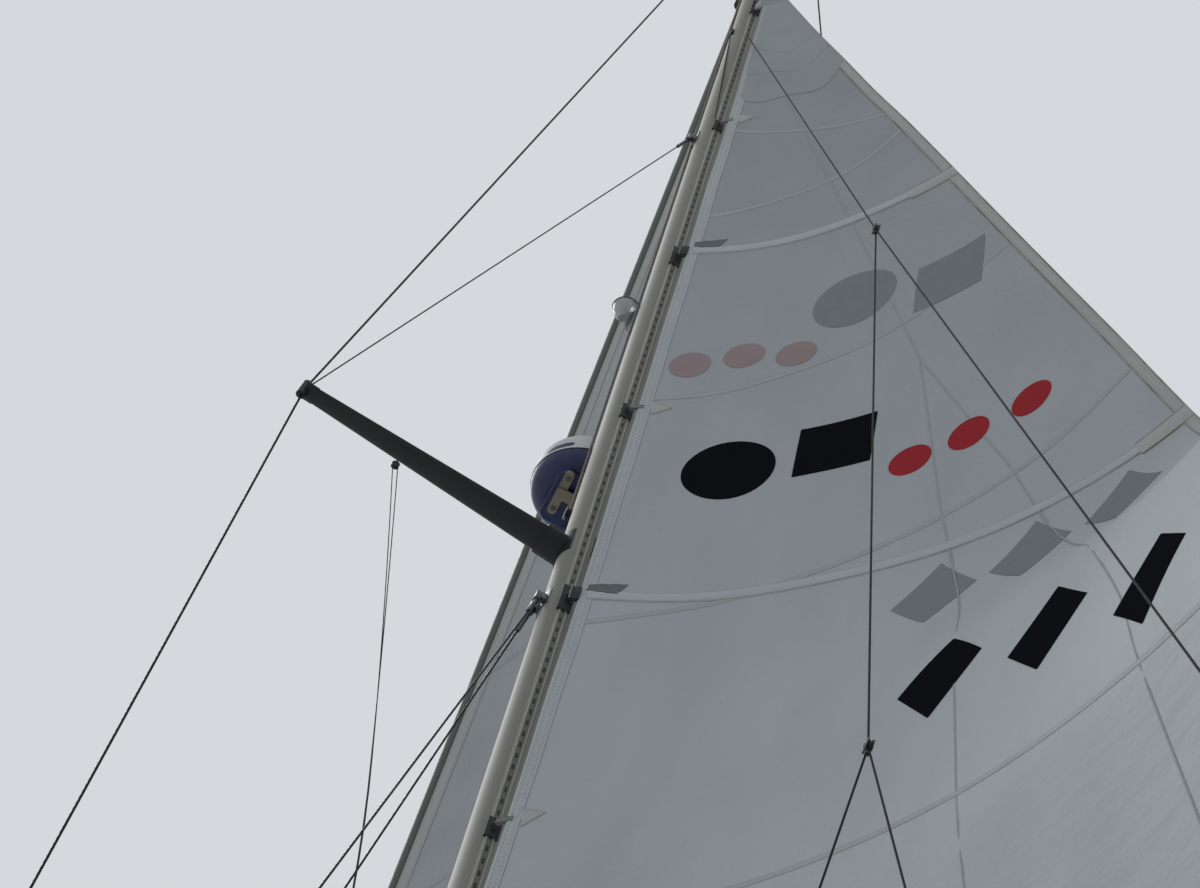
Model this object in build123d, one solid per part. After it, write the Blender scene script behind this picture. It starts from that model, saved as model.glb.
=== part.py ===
from build123d import *
import os
from math import cos, radians, sin, sqrt

# Mast and sail rig of a cruising sloop of about 10.5 m, in millimetres.
# +X is forward, +Y is port and +Z is up. The origin is under the middle of the mast heel,
# in the plane of the deck plates that the stays are pinned to.

PORT, STARBOARD = 1, -1
SEAT = 0.3                # gap between curved faces that seat on each other
SPIN_FIT = 0.05           # radial clearance of a shaft in its bore

# Mast: an oval aluminium extrusion, standing on a heel plate
MAST_CHORD = 170.0        # fore and aft
MAST_BEAM = 115.0         # athwart
MAST_WALL = 4.0
MAST_TOP = 13265.0
HEEL_LENGTH = 270.0
HEEL_WIDTH = 200.0
HEEL_THICK = 14.0
HEEL_CORNER = 30.0
HEEL_BOLT_X = 210.0
HEEL_BOLT_Y = 150.0
HEEL_BOLT_RADIUS = 5.5
COLLAR_HEIGHT = 60.0
COLLAR_WALL = 8.0

# Luff track on the aft face, and the cars that run on it
TRACK_BASE = 34.0
TRACK_NECK = 16.0
TRACK_HEAD = 26.0
TRACK_BASE_DEPTH = 5.0
TRACK_NECK_DEPTH = 3.0
TRACK_HEAD_DEPTH = 4.0
TRACK_FOOT = 1290.0
TRACK_HEADROOM = 665.0    # from the track's end up to the masthead plate
CAR_WALL = 4.0
CAR_CHEEK = 9.0
CAR_LENGTH = 76.0
BATTEN_CAR_LENGTH = 120.0
CAR_PITCH = 1075.0
CAR_COUNT = 9
BATTEN_CARS = (1, 3, 6, 8)  # counted down from the first car below the head
CAR_LUG_REACH = 12.0
CAR_LUG_THICK = 8.0
CAR_LUG_HEIGHT = 26.0
CAR_PIN = 3.0

# Mainsail: luff on the swing axis of the boom
LUFF_X = -125.0
HEAD_Z = 11480.0
TACK_Z = 1150.0
SAIL_THICK = 6.0
CAR_DROP = 1080.0         # from the head down to the first car
BOOM_ANGLE = 20.0         # rest angle, out to starboard
# height of the luff end, chord, angle off the centreline, camber as a share of the chord, rise to the leech
MAIN_SECTIONS = [
    (TACK_Z, 4000.0, BOOM_ANGLE, 0.050, 0.5),
    (2880.0, 3530.0, 20.5, 0.090, 6.0),
    (5030.0, 2800.0, 21.5, 0.105, 7.0),
    (6050.0, 2430.0, 28.0, 0.108, 7.0),
    (7180.0, 2010.0, 44.5, 0.117, 7.0),
    (9330.0, 1090.0, 47.0, 0.085, 8.5),
    (HEAD_Z, 150.0, 47.0, 0.010, 0.0),
]
HEADBOARD_HEIGHT = 190.0
HEADBOARD_TOP = 45.0
HEADBOARD_THICK = 9.0

# Spreaders
SPREADER_Z = 7509.0
SPREADER_REACH = 992.0
SPREADER_SWEEP = 6.1
SPREADER_RISE = 4.5
SPREADER_ROOT_CHORD = 122.0
SPREADER_ROOT_THICK = 34.0
SPREADER_TIP_CHORD = 66.0
SPREADER_TIP_THICK = 20.0
SOCKET_DEPTH = 70.0
SOCKET_WALL = 7.0
SPREADER_SEAT_Y = 66.0    # how far off the centreline a spreader starts
TIP_RADIUS = 17.0
TIP_HEIGHT = 76.0
SOCKET_BACK = 30.0        # how far a socket reaches in towards the mast
SOCKET_PLATE = 30.0       # how much taller its saddle is, above and below
CUFF_WALL = 3.0
CUFF_REACH = 26.0
INNER_SEAT_IN = 11.0      # how far inboard on the tip fitting the inner stay lands

# Stays: where their pins and upper anchors are
DECK_Z = 0.0
CAP_FOOT_X = -88.0
CAP_FOOT_Y = 1205.0
FORE_LOWER_X = 682.0
AFT_LOWER_X = -1823.0
LOWER_FOOT_Y = 1377.0
BABYSTAY_FOOT_X = 1500.0
FORESTAY_FOOT_X = 4118.0
FORESTAY_FOOT_Z = 105.0
BACKSTAY_FOOT_X = -5900.0
BACKSTAY_FOOT_Z = 200.0
LOWER_ANCHOR_Z = 7215.0
LOWER_ANCHOR_X = 24.0
INNER_ANCHOR_Z = 10386.0
CAP_ANCHOR_Z = 13225.0
ANCHOR_OFF = 22.0         # from the mast's face out to an anchor's centre
CAP_WIRE = 4.0            # wire radii
LOWER_WIRE = 3.5
INNER_WIRE = 2.5
FORESTAY_WIRE = 5.0
TANG_PLATE = 4.0
TANG_RADIUS = 13.0
TANG_LENGTH = 34.0
TANG_WIDTH = 26.0
TANG_TALL = 70.0

# End fittings of the stays
PIN_HOLE = 6.5
EAR_RADIUS = 17.0
FORK_WIDTH = 34.0
FORK_GAP = 12.0
FORK_DEPTH = 28.0
FORK_HEIGHT = 46.0
FORK_WAIST = 24.0
STUD_RADIUS = 6.0
STUD_LENGTH = 30.0
BARREL_RADIUS = 13.0
BARREL_LENGTH = 190.0
BARREL_WINDOW = 120.0
BARREL_SLOT = 10.0
SWAGE_LENGTH = 96.0
SWAGE_EXTRA = 4.5         # how much wider a swaged end is than its wire

# Masthead
CAP_PLATE = 8.0
CAP_OVERHANG = 5.0
CHEEK_GAP = 44.0
CHEEK_THICK = 6.0
CRANE_AFT = -330.0
CRANE_FORE = 150.0
CRANE_LOW = 42.0          # heights above the cap plate
CRANE_SHOULDER = 72.0
CRANE_TOP = 127.0
FORESTAY_PIN = (120.0, 13303.0)
BACKSTAY_PIN = (-305.0, 13330.0)
STAY_PIN_RADIUS = 7.0
SHEAVE_X = 58.0
SHEAVE_Z = 13333.0
SHEAVE_RADIUS = 42.0
SHEAVE_WIDTH = 17.0
SHEAVE_PIN = 8.0
LIGHT_X = -12.0
LIGHT_RADIUS = 30.0
LIGHT_HEIGHT = 92.0
AERIAL_X = -205.0
AERIAL_LENGTH = 850.0
AERIAL_RADIUS = 2.5
AERIAL_BASE_RADIUS = 14.0
AERIAL_BASE_HEIGHT = 70.0
AERIAL_SEAT = 60.0
LIGHT_SEAT = 70.0
PIN_PROUD = 3.0           # how far a pin stands out past its cheeks
VANE_X = 126.0
VANE_SEAT = 44.0
VANE_STEM = 235.0
VANE_STEM_RADIUS = 3.0
VANE_HUB_RADIUS = 8.0
VANE_HUB_HEIGHT = 24.0
VANE_REACH = 190.0
VANE_TAIL = 85.0
VANE_ARM_RADIUS = 2.5
VANE_NOSE_RADIUS = 7.0
VANE_NOSE_LENGTH = 30.0
VANE_TAIL_THICK = 2.0

# Furling headsail
DRUM_START = 165.0
DRUM_HEIGHT = 130.0
DRUM_RADIUS = 88.0
DRUM_CORE = 40.0
DRUM_RIM = 6.0
FOIL_WIDTH = 26.0
FOIL_CHORD = 46.0
FOIL_TURN = 30.0          # the foil turns with the sail on it, out to starboard
FOIL_TOP_GAP = 330.0      # from the foil's top to the forestay pin
SWIVEL_RADIUS = 37.0
SWIVEL_HEIGHT = 115.0
SWIVEL_DROP = 560.0
JIB_TACK = 430.0          # along the forestay
JIB_CLEW = (780.0, -860.0, 1450.0)
JIB_HEAD_CHORD = 70.0
# share of the luff, share of the leech, camber as a share of the chord
JIB_SECTIONS = [(0.0, 0.0, 0.070), (0.30, 0.28, 0.105), (0.64, 0.62, 0.090), (1.0, 1.0, 0.010)]

# Radar and steaming light on the front of the mast
RADOME_X = 292.0
RADOME_Z = 8145.0
RADOME_RADIUS = 195.0
RADOME_BASE_HEIGHT = 86.0
RADOME_TOP_HEIGHT = 140.0
RADOME_WALL = 56.0        # upright part of the white half
RADOME_DRAFT = 2.0
RADOME_FLAT = 128.0
RADOME_CROWN = 14.0
BOSS_LENGTH = 246.0       # raised pad under the base, which the rails bolt to
BOSS_WIDTH = 240.0
BOSS_THICK = 12.0
BOSS_CORNER = 40.0
BASE_CURVE_IN = 20.0      # a point on the curve of each half, in from the rim and off the flat
BASE_CURVE_UP = 24.0
SHOULDER_IN = 17.0
SHOULDER_DOWN = 24.0
RAIL_Y = 83.0
RAIL_WIDTH = 34.0
RAIL_LENGTH = 205.0
RAIL_THICK = 12.0
RAIL_BOLT_PITCH = 148.0
RAIL_BOLT_RADIUS = 5.0
TRAY_WIDTH = 200.0
TRAY_THICK = 6.0
TRAY_DROP = 120.0
NOSE_SADDLE = 28.0        # how far a saddle on the mast's nose reaches round it, fore and aft
WEB_OFFSET = 25.0
RAIL_X = 264.0
LAMP_Z = 9110.0
LAMP_ANGLE = 37.5         # round the mast from its nose, to port
LAMP_OUT = 150.0          # from the mast's middle to the lamp's
LAMP_RADIUS = 53.0
LAMP_HEIGHT = 108.0
LAMP_BOWL = 52.0
LAMP_NECK = 17.0
LAMP_NECK_HEIGHT = 14.0
LAMP_FOOT = 190.0         # from the seat down to the foot of the strap
LAMP_BOW_OUT = 118.0
LAMP_BOW_IN = 104.0
LAMP_STRAP = 5.0
LAMP_STRAP_WIDTH = 24.0
LAMP_SADDLE = 46.0
LAMP_SADDLE_AT = 71.0

# Boom, gooseneck and vang
BOOM_Z = 1050.0
BOOM_HEIGHT = 120.0
BOOM_BEAM = 82.0
BOOM_WALL = 3.5
BOOM_START = 84.0         # from the swing axis
BOOM_END = 4180.0
BOOM_CAP = 12.0
CAP_LIP = 2.0
TACK_HORN = 30.0
SHEAVE_BOX = 60.0
SHEET_BOX_SHARE = 0.7     # of the height of the boom
LUG_THICK = 10.0
LUG_GAP = 90.0
LUG_RADIUS = 22.0
SWING_PIN = 8.0
TOGGLE_RADIUS = 19.0
TONGUE = 24.0
EYE_RADIUS = 18.0
LIFT_PIN_AT = 48.0
VANG_Z = 260.0
VANG_AT = 1300.0
VANG_TUBE = 27.0
VANG_ROD = 19.0
VANG_TUBE_LENGTH = 860.0
VANG_SOCKET = 60.0
VANG_DROP = 29.0          # from the underside of the boom to the upper vang pin
VANG_NECK = 40.0
VANG_SADDLE = 120.0
CUP_CLEARANCE = 6.0
CLEW_AT = 3950.0
CLEW_CAR_LENGTH = 110.0
CLEW_CAR_WIDTH = 44.0
CLEW_CAR_TOP = 14.0       # above the top of the boom

# Halyard winches on the sides of the mast
WINCH_Z = 1430.0
WINCH_PAD = 60.0
WINCH_PAD_OUT = 96.0      # from the centreline
WINCH_BASE = 54.0
WINCH_WAIST = 38.0
WINCH_CROWN = 46.0
WINCH_LENGTH = 104.0
WINCH_SHAFT = 14.0
WINCH_LIFT = 0.6          # end clearance under the drum

BASE = (Align.CENTER, Align.CENTER, Align.MIN)
FORWARD = Vector(1, 0, 0)
UP = Vector(0, 0, 1)


def rod(start, end, radius):
    """Round bar between two points."""
    line = Vector(*end) - Vector(*start)
    return Plane(origin=start, z_dir=line) * Cylinder(radius, line.length, align=BASE)


def point_towards(start, end, distance):
    """Point that lies a distance from start on the way to end."""
    line = Vector(*end) - Vector(*start)
    return tuple(Vector(*start) + line.normalized() * distance)


def mast_prism(grow, low, high):
    """Solid oval a little larger than the mast, between two heights."""
    oval = Ellipse(MAST_CHORD / 2 + grow, MAST_BEAM / 2 + grow)
    return Pos(0, 0, low) * extrude(oval, high - low)


def mast_side(x):
    """Distance of the mast's side face from the centreline at x."""
    return MAST_BEAM / 2 * sqrt(1 - (2 * x / MAST_CHORD) ** 2)


def saddle(centre, size, low, high, thick):
    """Curved plate that lies on the mast, cut to a rectangle seen from above."""
    outer = Ellipse(MAST_CHORD / 2 + SEAT + thick, MAST_BEAM / 2 + SEAT + thick)
    inner = Ellipse(MAST_CHORD / 2 + SEAT, MAST_BEAM / 2 + SEAT)
    region = Pos(*centre) * Rectangle(*size)
    return Pos(0, 0, low) * extrude((outer - inner) & region, high - low)


def off_the_mast(shape, low, high):
    """Cuts away what would reach into the mast's wall."""
    return shape - mast_prism(SEAT, low, high)


def stay_frame(foot, head):
    """Plane at the foot of a stay, Z up the stay and X along its clevis pin."""
    line = (Vector(*head) - Vector(*foot)).normalized()
    return Plane(origin=foot, x_dir=line.cross(FORWARD), z_dir=line)


def boom_place(shape):
    """Turns a shape made for a boom on the centreline to its rest angle."""
    return Pos(LUFF_X, 0, 0) * Rot(0, 0, BOOM_ANGLE) * shape


def mast_heel():
    plate = extrude(RectangleRounded(HEEL_LENGTH, HEEL_WIDTH, HEEL_CORNER), HEEL_THICK)
    hole = Cylinder(HEEL_BOLT_RADIUS, HEEL_THICK, align=BASE)
    bolts = GridLocations(HEEL_BOLT_X, HEEL_BOLT_Y, 2, 2) * hole
    collar = mast_prism(SEAT + COLLAR_WALL, HEEL_THICK, HEEL_THICK + COLLAR_HEIGHT)
    collar -= mast_prism(SEAT, HEEL_THICK, HEEL_THICK + COLLAR_HEIGHT)
    return plate - bolts + collar


def mast_tube():
    return mast_prism(0, HEEL_THICK, MAST_TOP) - mast_prism(-MAST_WALL, HEEL_THICK, MAST_TOP)


def luff_track():
    aft = -MAST_CHORD / 2
    depth = TRACK_BASE_DEPTH + TRACK_NECK_DEPTH + TRACK_HEAD_DEPTH
    base = Pos(aft, 0) * Rectangle(2 * TRACK_BASE_DEPTH, TRACK_BASE)
    neck = Pos(aft - depth / 2, 0) * Rectangle(depth, TRACK_NECK)
    head = Pos(aft - depth + TRACK_HEAD_DEPTH / 2, 0) * Rectangle(TRACK_HEAD_DEPTH, TRACK_HEAD)
    mast = Ellipse(MAST_CHORD / 2 + SEAT, MAST_BEAM / 2 + SEAT)
    return Pos(0, 0, TRACK_FOOT) * extrude(base + neck + head - mast, MAST_TOP - TRACK_HEADROOM - TRACK_FOOT)


def luff_cars():
    """Channel cars that hook round the head of the track, each with a drilled lug for the sail."""
    aft = -MAST_CHORD / 2 - TRACK_BASE_DEPTH
    depth = TRACK_NECK_DEPTH + TRACK_HEAD_DEPTH + CAR_WALL + SEAT
    front = aft - SEAT
    back = aft - depth
    slot_depth = TRACK_HEAD_DEPTH + 2 * SEAT
    block = Pos((front + back) / 2, 0) * Rectangle(front - back, TRACK_HEAD + 2 * (CAR_CHEEK + SEAT))
    slot = Pos(back + CAR_WALL + slot_depth / 2, 0) * Rectangle(slot_depth, TRACK_HEAD + 2 * SEAT)
    throat = Pos(aft, 0) * Rectangle(2 * depth - 2 * CAR_WALL, TRACK_NECK + 2 * SEAT)
    profile = block - slot - throat
    lug = Box(2 * CAR_LUG_REACH, CAR_LUG_THICK, CAR_LUG_HEIGHT)
    lug = fillet(lug.edges().filter_by(Axis.Y), CAR_LUG_REACH * 0.8)
    lug -= Rot(90, 0, 0) * Pos(CAR_LUG_REACH / 2, 0, 0) * Cylinder(CAR_PIN, 2 * CAR_LUG_THICK)
    lug = Rot(0, 0, 180) * lug
    middles = [HEAD_Z + BATTEN_CAR_LENGTH / 2]
    middles += [HEAD_Z - CAR_DROP - k * CAR_PITCH for k in range(CAR_COUNT)]
    cars = []
    for number, middle in enumerate(middles):
        long = number == 0 or number - 1 in BATTEN_CARS
        length = BATTEN_CAR_LENGTH if long else CAR_LENGTH
        body = Pos(0, 0, -length / 2) * extrude(profile, length)
        outside = Pos(back, 0, 0) * (lug & Pos(-CAR_LUG_REACH, 0, 0) * Box(
            2 * CAR_LUG_REACH, CAR_LUG_THICK, length))
        cars.append(Pos(0, 0, middle) * (body + outside))
    return cars


def spreader_root(side):
    return Vector(0, side * SPREADER_SEAT_Y, SPREADER_Z)


def spreader_line(side):
    """Unit vector out along a spreader."""
    sweep, rise = radians(SPREADER_SWEEP), radians(SPREADER_RISE)
    return Vector(-sin(sweep) * cos(rise), side * cos(sweep) * cos(rise), sin(rise))


def spreader_tip(side):
    return Vector(0, side * MAST_BEAM / 2, SPREADER_Z) + spreader_line(side) * SPREADER_REACH


def spreader_section(side, share, grow=0.0):
    """Oval section of a spreader at a share of its length."""
    chord = SPREADER_ROOT_CHORD + (SPREADER_TIP_CHORD - SPREADER_ROOT_CHORD) * share
    thick = SPREADER_ROOT_THICK + (SPREADER_TIP_THICK - SPREADER_ROOT_THICK) * share
    line = spreader_line(side)
    start = spreader_root(side)
    end = spreader_tip(side) - line * (TIP_RADIUS + SEAT)
    plane = Plane(origin=tuple(start + (end - start) * share), x_dir=line.cross(UP).cross(line).cross(line),
                  z_dir=line)
    return plane * Ellipse(chord / 2 + grow, thick / 2 + grow)


def spreader(side):
    return loft([spreader_section(side, 0), spreader_section(side, 1)], ruled=True)


def spreader_bracket(side):
    """Cast socket on a saddle, open outwards for the spreader."""
    half = SPREADER_ROOT_CHORD / 2 + SOCKET_WALL
    tall = SPREADER_ROOT_THICK + 2 * SOCKET_WALL + 2 * SOCKET_PLATE
    plate = saddle((0, side * MAST_BEAM / 2), (2 * half, MAST_BEAM / 2), SPREADER_Z - tall / 2,
                   SPREADER_Z + tall / 2, TANG_PLATE)
    line = spreader_line(side)
    length = (spreader_tip(side) - spreader_root(side)).length - TIP_RADIUS - SEAT
    share = SOCKET_DEPTH / length
    wall = spreader_section(side, 0, SOCKET_WALL)
    mouth = spreader_section(side, share, SOCKET_WALL)
    back = wall.moved(Location(tuple(line * -SOCKET_BACK)))
    socket = loft([back.face(), mouth.face()], ruled=True)
    inside = loft([spreader_section(side, 0, SEAT), spreader_section(side, 2 * share, SEAT)], ruled=True)
    return off_the_mast(plate + socket - inside, SPREADER_Z - tall, SPREADER_Z + tall)


def cap_points(side):
    """Chainplate pin, spreader tip and mast anchor of a cap shroud."""
    foot = Vector(CAP_FOOT_X, side * CAP_FOOT_Y, DECK_Z)
    anchor = Vector(0, side * (mast_side(0) + ANCHOR_OFF), CAP_ANCHOR_Z)
    return foot, spreader_tip(side), anchor


def tip_frame(side):
    """Plane at a spreader's tip, Z along the middle of the two runs of the cap shroud."""
    foot, tip, anchor = cap_points(side)
    middle = (anchor - tip).normalized() + (tip - foot).normalized()
    return Plane(origin=tuple(tip), x_dir=(1, 0, 0), z_dir=middle)


def tip_fitting(side):
    """Boot that grips the cap shroud, with a tongue over the end of the spreader."""
    body = tip_frame(side) * Cylinder(TIP_RADIUS, TIP_HEIGHT)
    body = chamfer(body.edges().filter_by(GeomType.CIRCLE), TIP_RADIUS / 4)
    end = spreader_section(side, 1, SEAT + CUFF_WALL)
    inner = end.moved(Location(tuple(spreader_line(side) * -CUFF_REACH)))
    outer = end.moved(Location(tuple(spreader_line(side) * TIP_RADIUS)))
    cuff = loft([inner.face(), outer.face()], ruled=True)
    hole = loft([spreader_section(side, 0.9, SEAT), spreader_section(side, 1, SEAT)], ruled=True)
    return body + (cuff - hole)


def tang(side, x, z, foot):
    """Saddle on the mast's side with an arm and a boss that points down a stay."""
    y = side * (mast_side(x) + ANCHOR_OFF)
    anchor = (x, y, z)
    plate = saddle((x, side * MAST_BEAM / 2), (2 * TANG_WIDTH, MAST_BEAM / 2), z - TANG_TALL / 2,
                   z + TANG_TALL / 2, TANG_PLATE)
    arm = Pos(x, y - side * ANCHOR_OFF / 2, z) * Box(TANG_WIDTH, ANCHOR_OFF + TANG_WIDTH, TANG_WIDTH)
    boss = rod(anchor, point_towards(anchor, foot, TANG_LENGTH), TANG_RADIUS)
    return off_the_mast(plate + arm + boss, z - TANG_TALL, z + TANG_TALL)


def stay_table():
    """Every stay that ends on a tang: name, side, foot, anchor, wire radius."""
    rows = []
    for side, name in ((PORT, "port"), (STARBOARD, "starboard")):
        foot, tip, anchor = cap_points(side)
        rows.append((f"cap_shroud_{name}", side, tuple(foot), tuple(anchor), CAP_WIRE))
        for x_foot, x_anchor, label in ((FORE_LOWER_X, LOWER_ANCHOR_X, "fore_lower"),
                                        (AFT_LOWER_X, -LOWER_ANCHOR_X, "aft_lower")):
            low = (x_foot, side * LOWER_FOOT_Y, DECK_Z)
            high = (x_anchor, side * (mast_side(x_anchor) + ANCHOR_OFF), LOWER_ANCHOR_Z)
            rows.append((f"{label}_{name}", side, low, high, LOWER_WIRE))
    high = (MAST_CHORD / 2 + ANCHOR_OFF, 0, LOWER_ANCHOR_Z)
    rows.append(("babystay", 0, (BABYSTAY_FOOT_X, 0, DECK_Z), high, LOWER_WIRE))
    return rows


def toggle(plane):
    """Fork with an open pin hole and the stud that screws into the turnbuckle."""
    across = Rot(0, 90, 0) * Cylinder(EAR_RADIUS, FORK_WIDTH)
    waist = Box(FORK_WIDTH, FORK_WAIST, FORK_HEIGHT, align=BASE)
    gap = Pos(0, 0, -EAR_RADIUS) * Box(FORK_GAP, 2 * EAR_RADIUS, EAR_RADIUS + FORK_DEPTH, align=BASE)
    hole = Rot(0, 90, 0) * Cylinder(PIN_HOLE, FORK_WIDTH)
    stud = Pos(0, 0, FORK_HEIGHT) * Cylinder(STUD_RADIUS, STUD_LENGTH, align=BASE)
    return plane * (across + waist - gap - hole + stud)


def turnbuckle(plane):
    """Open barrel with its upper stud."""
    start = FORK_HEIGHT + STUD_LENGTH
    barrel = Pos(0, 0, start) * Cylinder(BARREL_RADIUS, BARREL_LENGTH, align=BASE)
    barrel = chamfer(barrel.edges().filter_by(GeomType.CIRCLE), BARREL_RADIUS / 4)
    middle = start + BARREL_LENGTH / 2
    window = Pos(0, 0, middle) * Box(3 * BARREL_RADIUS, BARREL_SLOT, BARREL_WINDOW)
    stud = Pos(0, 0, start + BARREL_LENGTH) * Cylinder(STUD_RADIUS, STUD_LENGTH, align=BASE)
    return plane * (barrel - window + stud)


FITTED = FORK_HEIGHT + BARREL_LENGTH + 2 * STUD_LENGTH


def swage(plane, start, wire):
    """Terminal that is pressed on the end of a wire."""
    return plane * Pos(0, 0, start) * Cylinder(wire + SWAGE_EXTRA, SWAGE_LENGTH, align=BASE)


def eye_end(plane, wire, pin):
    """Terminal with an eye round a pin, the wire leaving it along Z."""
    eye = Rot(0, 90, 0) * Cylinder(EAR_RADIUS, FORK_GAP)
    shank = Cylinder(wire + SWAGE_EXTRA, SWAGE_LENGTH, align=BASE)
    hole = Rot(0, 90, 0) * Cylinder(pin + SEAT, 3 * FORK_GAP)
    return plane * (eye + shank - hole)


def masthead():
    """Cap plate with two cheeks, the pins between them and seats for what stands on top."""
    base = MAST_TOP + CAP_PLATE
    cap = mast_prism(CAP_OVERHANG, MAST_TOP, base)
    half = MAST_CHORD / 2
    outline = Polyline(
        (-half, base), (CRANE_AFT, base + CRANE_LOW), (CRANE_AFT, base + CRANE_SHOULDER),
        (-MAST_CHORD * 0.9, base + CRANE_SHOULDER), (-half * 0.7, base + CRANE_TOP),
        (half * 0.4, base + CRANE_TOP), (half * 0.9, base + CRANE_SHOULDER),
        (CRANE_FORE, base + CRANE_SHOULDER), (CRANE_FORE, base + CRANE_LOW / 3), (half, base), close=True)
    face = make_face(Plane.XZ * outline)
    outer = CHEEK_GAP / 2 + CHEEK_THICK
    slab = extrude(face, outer, both=True)
    slab -= Pos(0, 0, base) * Box(-3 * CRANE_AFT, CHEEK_GAP, 2 * CRANE_TOP, align=BASE)
    pins = [(*FORESTAY_PIN, STAY_PIN_RADIUS), (*BACKSTAY_PIN, STAY_PIN_RADIUS),
            (SHEAVE_X, SHEAVE_Z, SHEAVE_PIN), (-SHEAVE_X, SHEAVE_Z, SHEAVE_PIN)]
    body = cap + slab
    for x, z, radius in pins:
        body += Pos(x, 0, z) * Rot(90, 0, 0) * Cylinder(radius, 2 * outer + 2 * PIN_PROUD)
    seats = [(LIGHT_X, base + CRANE_TOP, LIGHT_SEAT), (AERIAL_X, base + CRANE_SHOULDER, AERIAL_SEAT),
             (VANE_X, base + CRANE_SHOULDER, VANE_SEAT)]
    for x, z, length in seats:
        body += Pos(x, 0, z) * Box(length, 2 * outer, CHEEK_THICK, align=BASE)
    stem_foot = (VANE_X, 0, base + CRANE_SHOULDER + CHEEK_THICK)
    stem_top = (VANE_X, 0, stem_foot[2] + VANE_STEM)
    return body + rod(stem_foot, stem_top, VANE_STEM_RADIUS)


def sheaves():
    """Grooved wheels between the cheeks, two forward and two aft."""
    wheel = Cylinder(SHEAVE_RADIUS, SHEAVE_WIDTH) - Cylinder(SHEAVE_PIN + SEAT, SHEAVE_WIDTH)
    wheel -= Torus(SHEAVE_RADIUS, SHEAVE_WIDTH / 3)
    shift = (CHEEK_GAP - SEAT * 4) / 4
    return [Pos(x, y, SHEAVE_Z) * Rot(90, 0, 0) * wheel
            for x in (SHEAVE_X, -SHEAVE_X) for y in (shift, -shift)]


def masthead_light():
    foot = MAST_TOP + CAP_PLATE + CRANE_TOP + CHEEK_THICK
    body = Pos(LIGHT_X, 0, foot) * Cylinder(LIGHT_RADIUS, LIGHT_HEIGHT, align=BASE)
    return fillet(body.edges().group_by(Axis.Z)[-1], LIGHT_RADIUS / 2)


def aerial():
    foot = MAST_TOP + CAP_PLATE + CRANE_SHOULDER + CHEEK_THICK
    base = Pos(AERIAL_X, 0, foot) * Cylinder(AERIAL_BASE_RADIUS, AERIAL_BASE_HEIGHT, align=BASE)
    whip = Cylinder(AERIAL_RADIUS, AERIAL_LENGTH, align=BASE)
    return base + Pos(AERIAL_X, 0, foot + AERIAL_BASE_HEIGHT) * whip


def wind_vane():
    """Hub on the stem, with a pointer forward and a tail plate aft."""
    top = MAST_TOP + CAP_PLATE + CRANE_SHOULDER + CHEEK_THICK + VANE_STEM
    low = top - VANE_HUB_HEIGHT * 0.8
    hub = Pos(VANE_X, 0, low) * Cylinder(VANE_HUB_RADIUS, VANE_HUB_HEIGHT, align=BASE)
    bore = Pos(VANE_X, 0, low) * Cylinder(VANE_STEM_RADIUS + SPIN_FIT, VANE_HUB_HEIGHT * 0.9, align=BASE)
    height = low + VANE_HUB_HEIGHT / 2
    arm = rod((VANE_X - VANE_REACH, 0, height), (VANE_X + VANE_REACH, 0, height), VANE_ARM_RADIUS)
    point = Cone(VANE_NOSE_RADIUS, VANE_NOSE_RADIUS / 7, VANE_NOSE_LENGTH)
    nose = Pos(VANE_X + VANE_REACH, 0, height) * Rot(0, 90, 0) * point
    tail = Pos(VANE_X - VANE_REACH, 0, height) * Box(VANE_TAIL, VANE_TAIL_THICK, VANE_TAIL * 0.7)
    return hub + arm + nose + tail - bore


FORESTAY_HEAD = (FORESTAY_PIN[0], 0, FORESTAY_PIN[1])
FORESTAY_FOOT = (FORESTAY_FOOT_X, 0, FORESTAY_FOOT_Z)
BACKSTAY_HEAD = (BACKSTAY_PIN[0], 0, BACKSTAY_PIN[1])
BACKSTAY_FOOT = (BACKSTAY_FOOT_X, 0, BACKSTAY_FOOT_Z)
FORESTAY_LENGTH = (Vector(*FORESTAY_HEAD) - Vector(*FORESTAY_FOOT)).length


def forestay_frame():
    """Plane at the forestay's foot, Z up the stay and Y in the plane of the boat, aft side positive."""
    return stay_frame(FORESTAY_FOOT, FORESTAY_HEAD)


def furler_drum():
    """Spool with two rims on the forestay, above its toggle."""
    frame = forestay_frame()
    start = DRUM_START
    core = Pos(0, 0, start) * Cylinder(DRUM_CORE, DRUM_HEIGHT, align=BASE)
    low = Pos(0, 0, start) * Cylinder(DRUM_RADIUS, DRUM_RIM, align=BASE)
    high = Pos(0, 0, start + DRUM_HEIGHT - DRUM_RIM) * Cylinder(DRUM_RADIUS, DRUM_RIM, align=BASE)
    neck = Pos(0, 0, start + DRUM_HEIGHT) * Cylinder(DRUM_CORE * 0.8, DRUM_CORE, align=BASE)
    link = Pos(0, 0, FORK_HEIGHT + STUD_LENGTH) * Cylinder(
        BARREL_RADIUS, DRUM_START - FORK_HEIGHT - STUD_LENGTH, align=BASE)
    return frame * (core + low + high + neck + link)


FOIL_START = DRUM_START + DRUM_HEIGHT + DRUM_CORE
FOIL_END = FORESTAY_LENGTH - FOIL_TOP_GAP
SWIVEL_LOW = FOIL_END - SWIVEL_DROP
JIB_HEAD = SWIVEL_LOW - SEAT


def luff_foil():
    section = Rot(0, 0, FOIL_TURN) * Ellipse(FOIL_WIDTH / 2, FOIL_CHORD / 2)
    return forestay_frame() * Pos(0, 0, FOIL_START) * extrude(section, FOIL_END - FOIL_START)


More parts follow.
